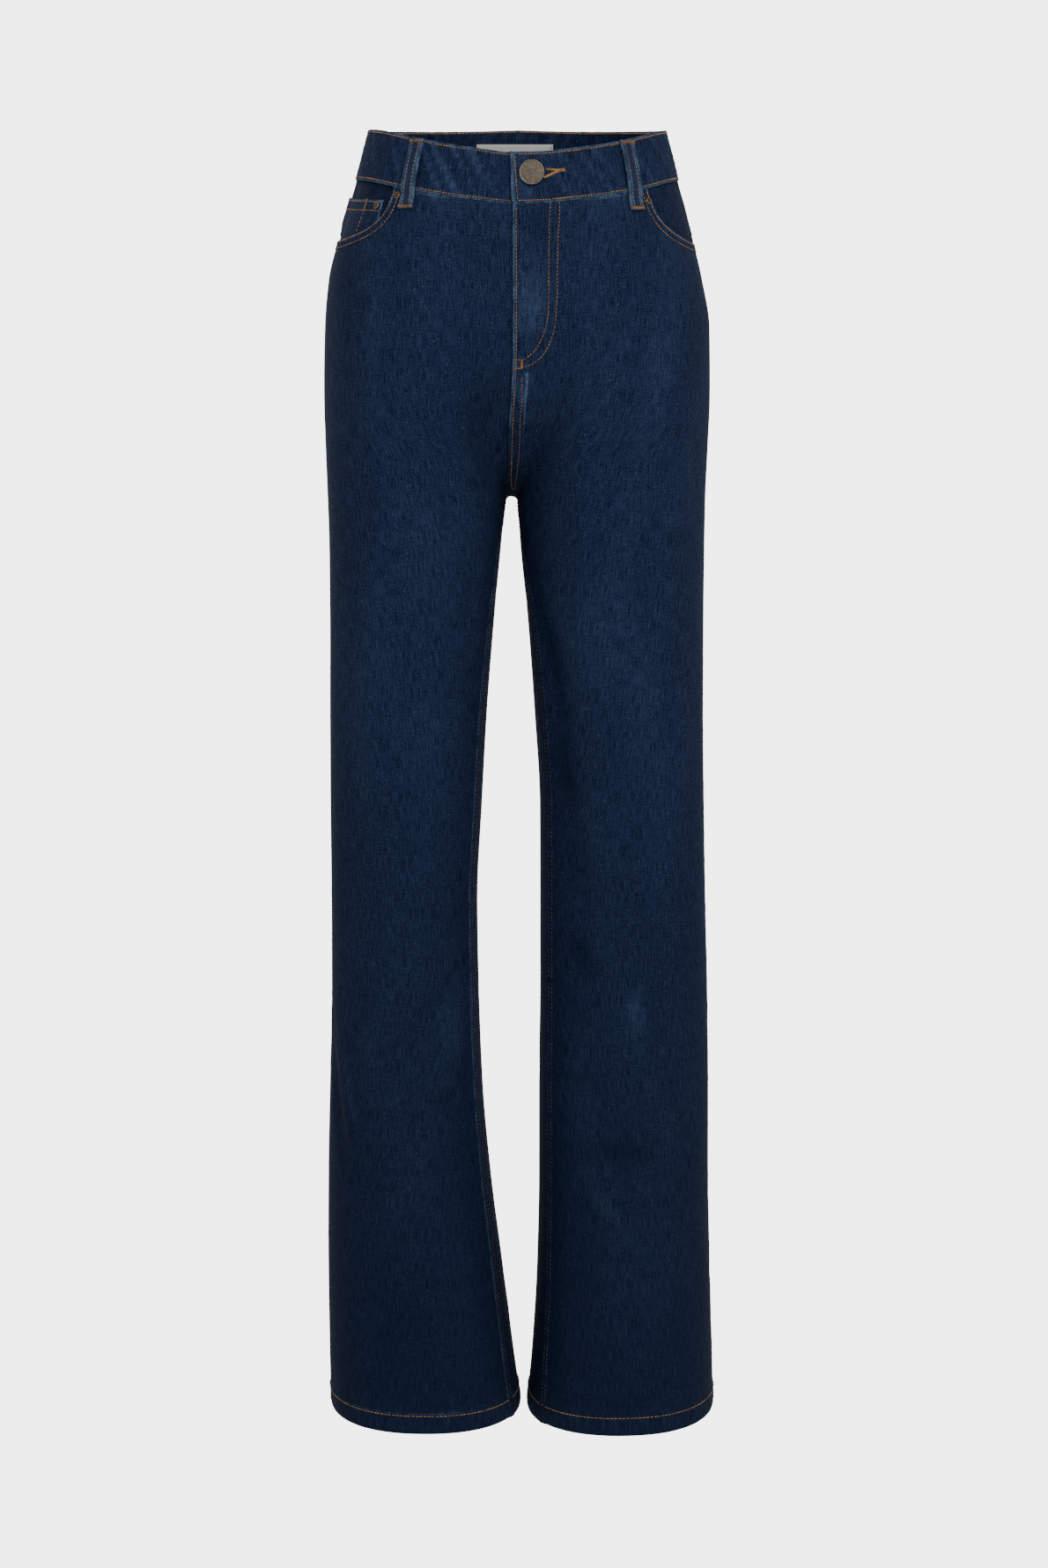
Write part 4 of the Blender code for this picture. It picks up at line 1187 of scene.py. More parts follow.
@dataclass(frozen=True)
class Tape(Finish):
    """Fine woven label tape."""

    name: str
    pale: tuple = (0.40, 0.395, 0.37, 1)
    shade: tuple = (0.30, 0.295, 0.275, 1)

    def dress(self, graph: Graph, shader: bpy.types.Node) -> None:
        """Builds the tape's crosswise ribs.

        Args:
            graph: The material's graph.
            shader: Its shader.
        """
        cloth = graph.add("ShaderNodeUVMap", {}, uv_map="cloth").outputs[0]
        ribs = graph.noise(cloth, (120, 1900, 1), 2.0)
        threads = graph.noise(cloth, (1500, 260, 1), 2.0)
        mask = graph.math("MULTIPLY", graph.math("ADD", ribs, threads), 0.5)
        colour = graph.mix(graph.span(mask, 0.3, 0.7), self.shade, self.pale)
        graph.feed(shader.inputs["Base Color"], colour)
        graph.feed(shader.inputs["Roughness"], graph.span(ribs, 0.2, 0.8, (0.86, 0.7)))
        shader.inputs["Specular IOR Level"].default_value = 0.25
        bump = {"Height": mask, "Strength": 0.5, "Distance": 0.00015}
        graph.feed(shader.inputs["Normal"], graph.add("ShaderNodeBump", bump).outputs[0])


@dataclass(frozen=True)
class StudioPaper(Finish):
    """Plain pale floor, lit to the background's own brightness."""

    name: str = "studio_paper"
    pale: tuple = (0.80, 0.80, 0.80, 1)
    glow: float = 4.6

    def dress(self, graph: Graph, shader: bpy.types.Node) -> None:
        """Sets the floor's plain colour and the brightness that the camera sees.

        Args:
            graph: The material's graph.
            shader: Its shader.
        """
        shader.inputs["Base Color"].default_value = self.pale
        shader.inputs["Roughness"].default_value = 0.95
        shader.inputs["Specular IOR Level"].default_value = 0.0
        seen = graph.add("ShaderNodeLightPath", {}).outputs["Is Camera Ray"]
        lit = graph.add("ShaderNodeEmission", {"Strength": self.glow}).outputs[0]
        mixed = graph.add("ShaderNodeMixShader", {0: seen, 1: shader.outputs[0], 2: lit}).outputs[0]
        graph.feed(graph.tree.nodes["Material Output"].inputs["Surface"], mixed)


DENIM = Denim("indigo_twill")
# Darker copy of the denim for the pocket facing: painted shade in the pocket mouth.
DENIM_FACING_SHADED = Denim("indigo_twill_facing_shaded", mid=(0.0080, 0.0140, 0.0380, 1), reach=1.6)
DENIM_BAND = Denim("indigo_twill_band", reach=2.0)
DENIM_REVERSE = Denim(
    "indigo_twill_reverse",
    dark=(0.026, 0.044, 0.076, 1),
    mid=(0.072, 0.100, 0.142, 1),
    worn=(0.10, 0.135, 0.185, 1),
)
THREADS = {
    Thread.COPPER: SewingThread("copper_thread", (0.28, 0.138, 0.044, 1), (0.12, 0.056, 0.023, 1)),
    Thread.BLUE: SewingThread(
        "dark_blue_thread", (0.060, 0.048, 0.050, 1), (0.022, 0.020, 0.028, 1)
    ),
}
BUTTON_METAL = OldMetal("dull_brass", (0.20, 0.165, 0.125, 1), (0.068, 0.054, 0.040, 1))
RIVET_METAL = OldMetal("copper_brass", (0.17, 0.115, 0.065, 1), (0.030, 0.024, 0.018, 1))
LABEL_TAPE = Tape("label_tape")


def put(name: str, data: bpy.types.ID) -> bpy.types.Object:
    """Puts a mesh, lamp or camera into the scene.

    Args:
        name: The object's name.
        data: Its mesh, lamp or camera.

    Returns:
        The object.
    """
    thing = bpy.data.objects.new(name, data)
    bpy.context.scene.collection.objects.link(thing)
    return thing


@dataclass
class Shell:
    """A piece of cloth on a grid of points, with what its finish reads at each of them.

    Attributes:
        name: The piece's name, which is its node's too.
        points: Rows of points in millimetres.
        cloth: Place of each point in the cut cloth, across and along, in millimetres.
        rub: Distance of each point from the nearest rubbed edge.
        fade: How pale or dark each point is: worn and faded places, and painted shade and
            highlights.
        gather: How gathered the cloth is there.
        dusk: How much darker it is made there, most at the hem.
        thickness: The cloth's thickness.
        finish: Outer finish.
        reverse: Inner finish.
        slot: Name of a material slot; not used.
        flat: Width and length of the cut, in metres; not used.
        area: Flat area of the cut, where it isn't a rectangle; not used.
        rests_on: What the piece is sewn to; not used.
        bevel: Width of the soft edge round the piece.
        flipped: Whether the rows run the other way round, so that the outer finish faces out.
    """

    name: str
    points: Array
    cloth: Array
    rub: Array
    fade: Array
    gather: Array
    dusk: Array = 0.0
    thickness: float = CLOTH
    finish: Finish = DENIM
    reverse: Finish = DENIM_REVERSE
    slot: str = "denim"
    flat: tuple = (1.0, 1.0)
    area: Optional[float] = None
    rests_on: tuple = ()
    bevel: float = 0.0
    flipped: bool = False

    def build(self) -> None:
        rows, columns = self.points.shape[:2]
        index = np.arange(rows * columns).reshape(rows, columns)
        corners = [index[:-1, :-1], index[:-1, 1:], index[1:, 1:], index[1:, :-1]]
        if self.flipped:
            corners.reverse()
        faces = np.stack(corners, axis=-1).reshape(-1, 4)
        mesh = bpy.data.meshes.new(self.name)
        mesh.from_pydata((self.points.reshape(-1, 3) * MM).tolist(), [], faces.tolist())
        layer = mesh.uv_layers.new(name="cloth")
        layer.data.foreach_set("uv", (self.cloth.reshape(-1, 2) * MM)[faces.ravel()].ravel())
        for name in ("rub", "fade", "gather", "dusk"):
            attribute = mesh.attributes.new(name, "FLOAT", "POINT")
            values = np.broadcast_to(getattr(self, name), (rows, columns))
            attribute.data.foreach_set("value", values.ravel().astype(np.float32))
        mesh.materials.append(self.finish.material())
        mesh.materials.append(self.reverse.material())
        mesh.shade_smooth()
        mesh.set_sharp_from_angle(angle=math.radians(60))
        thing = put(self.name, mesh)
        solid = thing.modifiers.new("thickness", "SOLIDIFY")
        solid.thickness = self.thickness * MM
        solid.offset = 0
        solid.use_even_offset = False
        solid.material_offset = 1
        if self.bevel:
            soft = thing.modifiers.new("soft edges", "BEVEL")
            soft.width = self.bevel * MM
            soft.segments = 2
            soft.angle_limit = math.radians(60)
        declare(thing, self.name)


def declare(
    thing: bpy.types.Object,
    node: str = "",
) -> None:
    """Tells the frame what a piece rides on and stands for.

    Args:
        thing: The piece.
        node: The frame's node that it stands for.
    """
    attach(thing, "root")
    if node:
        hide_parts(node)
    log.info("%s: %d points", thing.name, len(thing.data.vertices))


def seam_columns(girth: Array, cells: int, outer: float = 1.0) -> Array:
    """Shares of columns that lie close together by both seams and evenly between.

    Args:
        girth: Length of cloth of each row.
        cells: How many cells a row has.
        outer: Share at which the row ends.

    Returns:
        The shares, a row a girth.
    """
    girth = np.asarray(girth, float).reshape(-1, 1)
    close = np.array(NEAR_SEAM).reshape(1, -1) / girth
    count = cells + 1 - 2 * len(NEAR_SEAM)
    steps = (np.arange(count) + 1.0) / (count + 1)
    first, last = close[:, -1:], outer - close[:, -1:]
    return np.hstack([close, first + (last - first) * steps, outer - close[:, ::-1]])


@dataclass
class Panel:
    """A leg's front or back panel, from its turned-up hem to the band or yoke."""

    side: Side
    part: Part
    flat: tuple
    area: float

    def rows(self) -> tuple[Array, Array]:
        """Heights of the panel's rows.

        Returns:
            The heights at its inner and outer seams.
        """
        inner = [row.inner for row in PANEL_ROWS]
        outer = [row.outer for row in PANEL_ROWS]
        places = [0.0]
        for i in range(len(inner) - 1):
            step = max(inner[i + 1] - inner[i], outer[i + 1] - outer[i])
            count = math.ceil(step / ROW_STEP)
            places += [i + (k + 1) / count for k in range(count)]
        order = range(len(inner))
        return smooth_curve(order, inner, places), smooth_curve(order, outer, places)

    def top(self, shares: Array) -> Array:
        """The panel's upper edge.

        Args:
            shares: Shares of its columns.

        Returns:
            The height of each.
        """
        if self.part is Part.BACK:
            return read(YOKE_EDGE, "height", 1 + shares) - GAP
        mouth_turns, drops = mouth_curve(self.side, 2 * MOUTH_CELLS)
        below = np.interp(shares, mouth_turns, drops, left=0.0)
        return band_seam(self.side, shares) - below + np.where(below > 0, -GAP, TUCK)

    def last_shares(self) -> Array:
        """Columns of the panel's last row.

        Returns:
            Their shares.
        """
        if self.part is Part.BACK:
            return seam_columns(BACK_ACROSS, ACROSS)[0]
        mouth_turns, _ = mouth_curve(self.side, MOUTH_CELLS + 1)
        plain = ACROSS - MOUTH_CELLS
        close = np.array(NEAR_SEAM) / FRONT_ACROSS
        rest = np.linspace(close[-1], MOUTH_START[self.side], plain + 2 - len(close))
        return np.concatenate([close, rest[1:], mouth_turns[1:]])

    def hem_rows(self, turns: Array) -> list:
        """The hem's rows: up inside the leg, round the fold and up its outer face.

        Args:
            turns: Turns of the columns.

        Returns:
            Height and lift of each row.
        """
        edge = hem_edge(self.side, turns)
        radius = LAYER / 2
        inside = [(edge + up, -LAYER + 0 * edge) for up in (HEM_TURN_UP, 10.0, 5.0)]
        fold = [
            (edge + radius * (1 - math.sin(a)), -radius * (1 + math.cos(a)) + 0 * edge)
            for a in np.linspace(0, math.pi, 7)
        ]
        rises = (3.0, 5.5, 8.0, 10.5, 13.0, 14.4, 15.6, 16.8, 18.4)
        outside = [(edge + up, 0 * edge) for up in rises]
        return inside + fold + outside

    def grid(self) -> tuple[Array, Array, Array]:
        """Shares, heights and lifts of the panel's points.

        Returns:
            The shares across, the heights and how far the hem's rows lie off the form.
        """
        inner, outer = self.rows()
        even = np.linspace(0, 1, ACROSS + 1).reshape(1, -1)
        across = even if self.part is Part.FRONT else 1 - even
        heights = inner[:, None] + (outer - inner)[:, None] * ease(across, 0.0, 0.8)
        base = seam_columns(BACK_ACROSS, ACROSS)[0] if self.part is Part.BACK else even[0]
        hem = self.hem_rows(base + (self.part is Part.BACK))
        low = np.stack([height for height, _ in hem])
        flat_rows = np.zeros((len(heights) + TOP_ROWS, even.size))
        lifts = np.concatenate([np.stack([lift for _, lift in hem]), flat_rows])
        last = self.last_shares()
        steps = np.linspace(0, 1, TOP_ROWS + 1)[1:].reshape(-1, 1)
        spread = 1 - (1 - steps) ** 1.25
        top = self.top(last)
        heights = np.vstack([low, heights, heights[-1:] + (top - heights[-1:]) * spread])
        girth = leg_girth(self.side, self.part, heights[:, 0])
        shares = seam_columns(girth, ACROSS)
        shares = shares + (last - shares) * ease(heights[:, :1], *MOUTH_EASE)
        return shares, heights, lifts

    def build(self) -> None:
        """Makes the panel."""
        shares, heights, lifts = self.grid()
        front = self.part is Part.FRONT
        girth = leg_girth(self.side, self.part, heights)
        inner = shares * girth if front else (1 - shares) * girth
        outer = girth - inner
        turns = shares + (not front)
        above = heights - CROTCH
        edge = hem_edge(self.side, turns)
        up = heights - edge
        outside = lifts > -0.2
        leg = 1 - ease(above, -1, 2)
        felled = leg if front else (1 - leg) * (self.side is Side.LEFT)
        if front and self.side is Side.LEFT:
            felled = np.maximum(felled, 1 - ease(heights, -196, -190))
        seed = 1.7 * self.side.sign + 0.8 * front
        raised = 0.65 * felled * (1 - ease(inner, *FELLED_STEP))
        raised += 0.28 * felled * (1 - ease(inner, 9, 15)) * uneven(heights / 2.6, seed)
        raised -= 0.55 * np.exp(-((outer / 1.5) ** 2)) * ease(up, 16, 24)
        raised += 0.4 * (1 - ease(outer, 1, 9)) * uneven(heights / 3.4, seed + 1) * ease(up, 12, 24)
        hem = ease(up, 0, 3) * (1 - ease(up, 15, 26)) * outside
        across = inner * (1 if front else -1)
        raised += 0.34 * hem * uneven((across + 0.8 * up) / 2.3, seed + 2)
        raised += 0.55 * (1 - ease(up, 15.4, 17.2)) * outside * ease(up, 0.5, 3)
        beside = np.abs(inner - FELLED_EDGE) * 1.7 + 1.1 * leg + 30 * (1 - felled)
        rub = np.minimum(beside, outer * 1.6 + 1.7)
        rub = np.minimum(rub, np.where(outside, np.abs(up - 17.0) * 1.5 + 1.4, 30))
        rub = np.minimum(rub, np.maximum(up, 0) + 1.5)
        gather = np.clip(hem * 0.34, 0, 1)
        if front:
            gap = self.mouth_distance(turns, heights)
            raised += 0.30 * (1 - ease(gap, 6.5, 9)) - 0.35 * np.exp(-(((gap - 7.6) / 1.1) ** 2))
            rub = np.minimum(rub, gap * 0.8)
            band = band_seam(self.side, turns) - heights
            worn = 1 - ease(np.abs(turns - 0.37), 0.06, 0.14)
            rub = np.minimum(rub, band * 0.8 + 1.7 - 1.3 * worn)
            gather = np.maximum(gather, (0.1 + 0.3 * worn) * (1 - ease(band, 1, 9)))
            if self.side is Side.LEFT:
                rub = np.minimum(rub, inner * 0.9 + 25 * leg)
                rub = rub + 1.6 * (1 - ease(heights, -258, -212))
        else:
            yoke = read(YOKE_EDGE, "height", turns) - heights
            rub = np.minimum(rub, yoke * 0.8 + 0.5)
            raised += 0.28 * (1 - ease(yoke, 2, 9)) * uneven(inner / 2.8, seed + 3)
            rub = np.minimum(rub, self.pocket_edge(turns, heights))
        lifts = lifts + raised
        # Pale and dark marks: worn places, painted shade in troughs and beside the lap, painted
        # highlights on ridges.
        fade = sum_of(SHADE_AND_WEAR_MARKS, self.side, turns, heights)
        if front and self.side is Side.LEFT:
            points = lapped(inner, heights, lifts)
        else:
            points = place(self.side, turns, heights, lifts)
        below = 1 - ease(heights, *GRAIN_CHANGE)
        widest = leg_girth(self.side, self.part, GRAIN_CHANGE[0])
        grain = inner * (1 - below) + (widest - outer) * below
        cloth = np.stack([grain * (1 if front else -1), heights + 37 * self.side.sign], axis=-1)
        name = f"{self.part.value}_{self.side.value}"
        Shell(
            name,
            points,
            cloth,
            np.clip(rub, 0, 40),
            fade,
            gather,
            dusk=smooth_curve(*zip(*DUSK), heights),
            flat=self.flat,
            area=self.area,
            rests_on=("waistband",) if front else (f"yoke_{self.side.value}",),
            flipped=self.side is Side.RIGHT,
        ).build()

    def mouth_distance(self, turns: Array, heights: Array) -> Array:
        """Distance of a front's points from its pocket mouth.

        Args:
            turns: Turns of the points.
            heights: Heights of the points.

        Returns:
            The distances, at most FAR_OFF.
        """
        mouth, drops = mouth_curve(self.side, 90)
        edge = band_seam(self.side, mouth) - drops
        distance = np.full(turns.shape, FAR_OFF)
        for row in range(turns.shape[0]):
            if heights[row].max() < -150:
                continue
            off = (turns[row][:, None] - mouth[None]) * FRONT_ACROSS
            distance[row] = np.hypot(off, heights[row][:, None] - edge[None]).min(axis=1)
        return np.minimum(distance, FAR_OFF)

    def pocket_edge(self, turns: Array, heights: Array) -> Array:
        """Distance of a back's points from its patch pocket's outline.

        Args:
            turns: Turns of the points.
            heights: Their heights.

        Returns:
            Their distances.
        """
        corners = [
            ((2 - corner.from_seam / BACK_ACROSS) * BACK_ACROSS, corner.height)
            for corner in POCKET_CORNERS
        ]
        distance = np.full(turns.shape, FAR_OFF)
        for start, end in zip(corners, corners[1:] + corners[:1]):
            a, b = np.array(start), np.array(end)
            off = np.stack([turns * BACK_ACROSS, heights], axis=-1) - a
            share = np.clip((off @ (b - a)) / ((b - a) @ (b - a)), 0, 1)
            beside = np.linalg.norm(off - share[..., None] * (b - a), axis=-1)
            distance = np.minimum(distance, beside)
        return distance * 0.8


@dataclass
class Yoke:
    """Back yoke, its lower edge felled over the back panel."""

    side: Side
    flat: tuple = (0.262, 0.079)
    area: float = 0.0152

    def build(self) -> None:
        """Makes the yoke."""
        shares = seam_columns(BACK_ACROSS, ACROSS)
        low = read(YOKE_EDGE, "height", 1 + shares)
        high = band_seam(self.side, 1 + shares) + TUCK
        dense = [0, 0.01, 0.03, 0.06, 0.1, 0.14, 0.17]
        steps = np.concatenate([dense, np.linspace(0.22, 1, 13)])[:, None]
        heights = low + (high - low) * steps
        turns = 1 + shares + 0 * heights
        up = heights - low
        inner = (2 - turns) * BACK_ACROSS
        felled = (1 - ease(inner, *FELLED_STEP)) * (self.side is Side.LEFT)
        lifts = 0.5 * np.maximum(1 - ease(up, 7, 8.5), felled)
        lifts += 0.25 * (1 - ease(up, 7, 12)) * uneven(inner / 2.7, 2.0 * self.side.sign)
        rub = np.minimum(np.abs(up - 8), (high - heights) * 0.7 + 0.4)
        rub = np.minimum(rub, np.abs(inner - FELLED_EDGE) + 30 * (self.side is Side.RIGHT))
        cloth = np.stack([inner, heights + 60 * self.side.sign], axis=-1)
        name = f"yoke_{self.side.value}"
        Shell(
            name,
            place(self.side, turns, heights, lifts),
            cloth,
            np.clip(rub, 0, 40),
            0.05 + 0 * rub,
            0.3 * (1 - ease(high - heights, 1, 7)),
            flat=self.flat,
            area=self.area,
            rests_on=("waistband",),
            flipped=self.side is Side.RIGHT,
        ).build()


@dataclass
class FrontPocket:
    """What shows through a front pocket's mouth: the facing and, on the right, the coin pocket."""

    side: Side
    flat: tuple = (0.115, 0.062)
    area: float = 0.0058
    coin_flat: tuple = (0.089, 0.056)
    coin_area: float = 0.0041

    def recess(self, turns: Array, above_edge: Array) -> Array:
        """The facing's depth under the front, which fades out at the outseam above the mouth.

        Args:
            turns: Turns of the points.
            above_edge: Their heights above the mouth's edge.

        Returns:
            The lift of each, which is negative.
        """
        from_seam = (1 - turns) * FRONT_ACROSS
        sunk = np.maximum(
            ease(from_seam, *FACING_FADE_SIDE), 1 - ease(above_edge, *FACING_FADE_DOWN)
        )
        return FACING_LIFT[self.side] * sunk

    def edge(self, turns: Array) -> tuple[Array, Array]:
        """The mouth's edge and the facing's lower edge.

        Args:
            turns: Turns of the places.

        Returns:
            The heights of both.
        """
        mouth, drops = mouth_curve(self.side, 90)
        below = np.interp(turns, mouth, drops, left=0.0)
        seam = band_seam(self.side, turns)
        return seam - below, seam - GAP - np.maximum(below + FACING_UNDER, FACING_LEAST)

    def facing(self) -> None:
        """Makes the facing."""
        mouth, _ = mouth_curve(self.side, MOUTH_CELLS + 1)
        before = np.linspace(MOUTH_START[self.side] - 0.066, mouth[0], 7)[:-1]
        turns = np.concatenate([before, mouth]).reshape(1, -1)
        edge, low = self.edge(turns)
        high = band_seam(self.side, turns) + TUCK
        heights = low + (high - low) * np.linspace(0, 1, 27).reshape(-1, 1)
        lifts = self.recess(turns, heights - edge) + 0.2 * uneven(heights / 6 + turns * 30, 3.0)
        turns = turns + 0 * heights
        name = f"facing_{self.side.value}"
        Shell(
            name,
            place(self.side, turns, heights, lifts),
            np.stack([turns * FRONT_ACROSS, heights], axis=-1),
            np.clip(high - heights, 0, 40) * 0.8 + 0.8,
            # The facing is painted darker: painted shade in the pocket mouth.
            -0.12 + 0 * heights,
            0.15 * (1 - ease(high - heights, 1, 6)),
            finish=DENIM_FACING_SHADED,
            flat=self.flat,
            area=self.area,
            rests_on=(f"front_{self.side.value}",),
            flipped=self.side is Side.RIGHT,
        ).build()

    def coin_place(self, across: Array, down: Array) -> tuple[Array, Array, Array]:
        """Places on the coin pocket.

        Args:
            across: Distances from the outseam.
            down: Distances below its top edge.

        Returns:
            Turns, heights and lifts.
        """
        turns = 1 - across / FRONT_ACROSS
        inner, outer = COIN_TOP
        share = (across - outer.from_seam) / (inner.from_seam - outer.from_seam)
        heights = outer.height + (inner.height - outer.height) * share - down
        return turns, heights, self.recess(turns, heights - self.edge(turns)[0]) + COIN_OVER_FACING

    def coin(self) -> None:
        """Makes the coin pocket."""
        inner, outer = COIN_TOP
        across = np.linspace(inner.from_seam, outer.from_seam, 40).reshape(1, -1)
        turns, top, _ = self.coin_place(across, 0.0)
        low = self.edge(turns)[1]
        dense = [0, 0.02, 0.05, 0.1, 0.15, 0.2]
        share = 1 - np.concatenate([dense, np.linspace(0.26, 1, 14)])[:, None]
        down = (top - low) * share
        turns, heights, lifts = self.coin_place(across, down)
        side_edge = np.minimum(inner.from_seam - across, 40) + 0 * down
        lifts = lifts + 0.15 * (1 - ease(down, 8, 10))
        Shell(
            "coin_pocket",
            place(self.side, turns + 0 * heights, heights, lifts),
            np.stack([across + 0 * heights, heights], axis=-1),
            np.minimum(down, side_edge) * 0.8,
            0.0 * heights,
            0.2 * (1 - ease(down, 2, 8)),
            flat=self.coin_flat,
            area=self.coin_area,
            rests_on=("facing_right",),
            flipped=True,
        ).build()

    def build(self) -> None:
        """Makes the pocket's pieces."""
        self.facing()
        if self.side is Side.RIGHT:
            self.coin()


@dataclass
class BackPocket:
    """Patch pocket on a back panel."""

    side: Side
    flat: tuple = (0.134, 0.149)
    area: float = 0.0174

    def spot(self, across: Array, down: Array) -> tuple[Array, Array]:
        """Turn and height at a share across the pocket and a share down it.

        Args:
            across: 0 by the centre back and 1 by the outseam.
            down: 0 at the pocket's mouth and 1 at its pointed foot.

        Returns:
            Turns and heights.
        """
        corners = [np.array(corner, float) for corner in POCKET_CORNERS]
        top = corners[0] + (corners[1] - corners[0]) * across[..., None]
        first = corners[4] + (corners[3] - corners[4]) * (across * 2)[..., None]
        second = corners[3] + (corners[2] - corners[3]) * (across * 2 - 1)[..., None]
        foot = np.where((across < 0.5)[..., None], first, second)
        found = top + (foot - top) * down[..., None]
        return 2 - found[..., 0] / BACK_ACROSS, found[..., 1]

    def build(self) -> None:
        """Makes the pocket."""
        close = np.array([0, 0.006, 0.014, 0.03, 0.05, 0.075])
        shares = np.concatenate([close, np.linspace(0.11, 0.89, 21), 1 - close[::-1]])
        across, down = shares[None], shares[:, None]
        across, down = np.broadcast_arrays(across, down)
        turns, heights = self.spot(across, down)
        width, depth = POCKET_SIZE
        border = np.minimum(
            np.minimum(across, 1 - across) * width, np.minimum(down, 1 - down) * depth
        )
        lifts = POCKET_LIFT + 0.5 * ease(border, 6, 16) * (1 - ease(down, 0.0, 0.9))
        lifts = lifts - 0.18 * np.exp(-(((border - 4.6) / 1.6) ** 2))
        lifts = lifts + 0.15 * uneven(across * 60 + down * 9, 1.0)
        name = f"pocket_{self.side.value}"
        Shell(
            name,
            place(self.side, turns, heights, lifts),
            np.stack([(2 - turns) * BACK_ACROSS, heights], axis=-1),
            np.clip(border, 0, 40) * 0.9,
            0.12 * ease(border, 4, 20),
            0.25 * (1 - ease(border, 2, 8)),
            flat=self.flat,
            area=self.area,
            rests_on=(f"back_{self.side.value}",),
            flipped=self.side is Side.RIGHT,
        ).build()


@dataclass
class Waistband:
    """One doubled strip round the waist whose left end laps over its right end."""

    cells: int = 14
    columns_a_side: int = 200
    flat: tuple = (0.84, 0.0405)

    @staticmethod
    def sunk(turns: Array) -> Array:
        """How far each place of the band's right end is sunk, from 1 at its end to 0."""
        girth = leg_girth(Side.RIGHT, Part.FRONT, BAND_MIDDLE)
        return 1 - ease(turns * girth, *BAND_SINK_FADE)

    def columns(self) -> list:
        """Side, turns, sunk depth of each column, from the hidden end to the outer one.

        Returns:
            The columns.
        """
        level = np.zeros(self.cells + 1)
        hidden = turn_at(Side.LEFT, Part.FRONT, np.linspace(BAND_UNDERLAP, 2, 10), BAND_MIDDLE)
        ends = np.linspace(BAND_END_LOWER, BAND_END_UPPER, self.cells + 1)
        across = np.linspace(0, 2, self.columns_a_side)
        columns = [(Side.LEFT, turn + level, 1.0) for turn in hidden]
        columns += [(Side.RIGHT, turn + level, self.sunk(turn)) for turn in across[:-1]]
        columns += [(Side.LEFT, turn + level, 0.0) for turn in across[::-1]]
        for share in (0.4, 0.8, 1.0):
            end = turn_at(Side.RIGHT, Part.FRONT, ends, self.heights(Side.RIGHT, level))
            columns.append((Side.RIGHT, end * share, 0.0))
        return columns

    def rises(self) -> Array:
        """Shares of the band's height at which its rows run."""
        near = np.array([0, 0.02, 0.045, 0.075, 0.11])
        return np.concatenate([near, np.linspace(0.2, 0.8, self.cells - 9), 1 - near[::-1]])

    def heights(self, side: Side, turns: Array) -> Array:
        """Heights of one of the band's columns, from its lower edge to its upper one."""
        return band_seam(side, turns) + BAND_HEIGHT * self.rises()

    def build(self) -> None:
        """Makes the band."""
        columns = self.columns()
        points, cloth, puckers, length = [], [], [], 0.0
        for number, (side, turns, sunk) in enumerate(columns):
            heights = self.heights(side, turns)
            up = self.rises() * BAND_HEIGHT
            quilt = -0.22 * sum(np.exp(-((up - row) ** 2)) for row in (2.2, 38.2))
            fullest = math.exp(-(((float(turns.mean()) - 0.3) / 0.16) ** 2)) * (side is Side.RIGHT)
            pucker = uneven(number * 0.8 - up / 3.6, 1.0) * (1 - sunk) * ease(up, 1, 8)
            pucker = pucker * (0.6 + 0.8 * fullest)
            quilt = quilt + 0.8 * pucker
            puckers.append(pucker)
            lift = BAND_LIFT - sunk * BAND_SINK + quilt
            found = place(side, turns, heights, lift)
            length += np.linalg.norm(found[7] - points[-1][7]) if points else 0.0
            points.append(found)
            cloth.append(np.stack([length + 0 * up, up], axis=-1))
        points = np.stack(points, axis=1)
        cloth = np.stack(cloth, axis=1)
        up = cloth[..., 1]
        end = length - cloth[..., 0]
        rub = np.minimum(np.minimum(up, BAND_HEIGHT - up), end * 0.4)
        Shell(
            "waistband",
            points,
            cloth,
            rub * 0.9,
            # Pucker crests painted lighter and hollows darker: painted light and shade on the band.
            0.05 + 0.72 * np.stack(puckers, axis=1),
            0.3 * (1 - ease(rub, 2, 6)),
            thickness=BAND_CLOTH,
            finish=DENIM_BAND,
            reverse=DENIM_BAND,
            slot="denim_band",
            flat=self.flat,
            bevel=0.55,
            flipped=True,
        ).build()


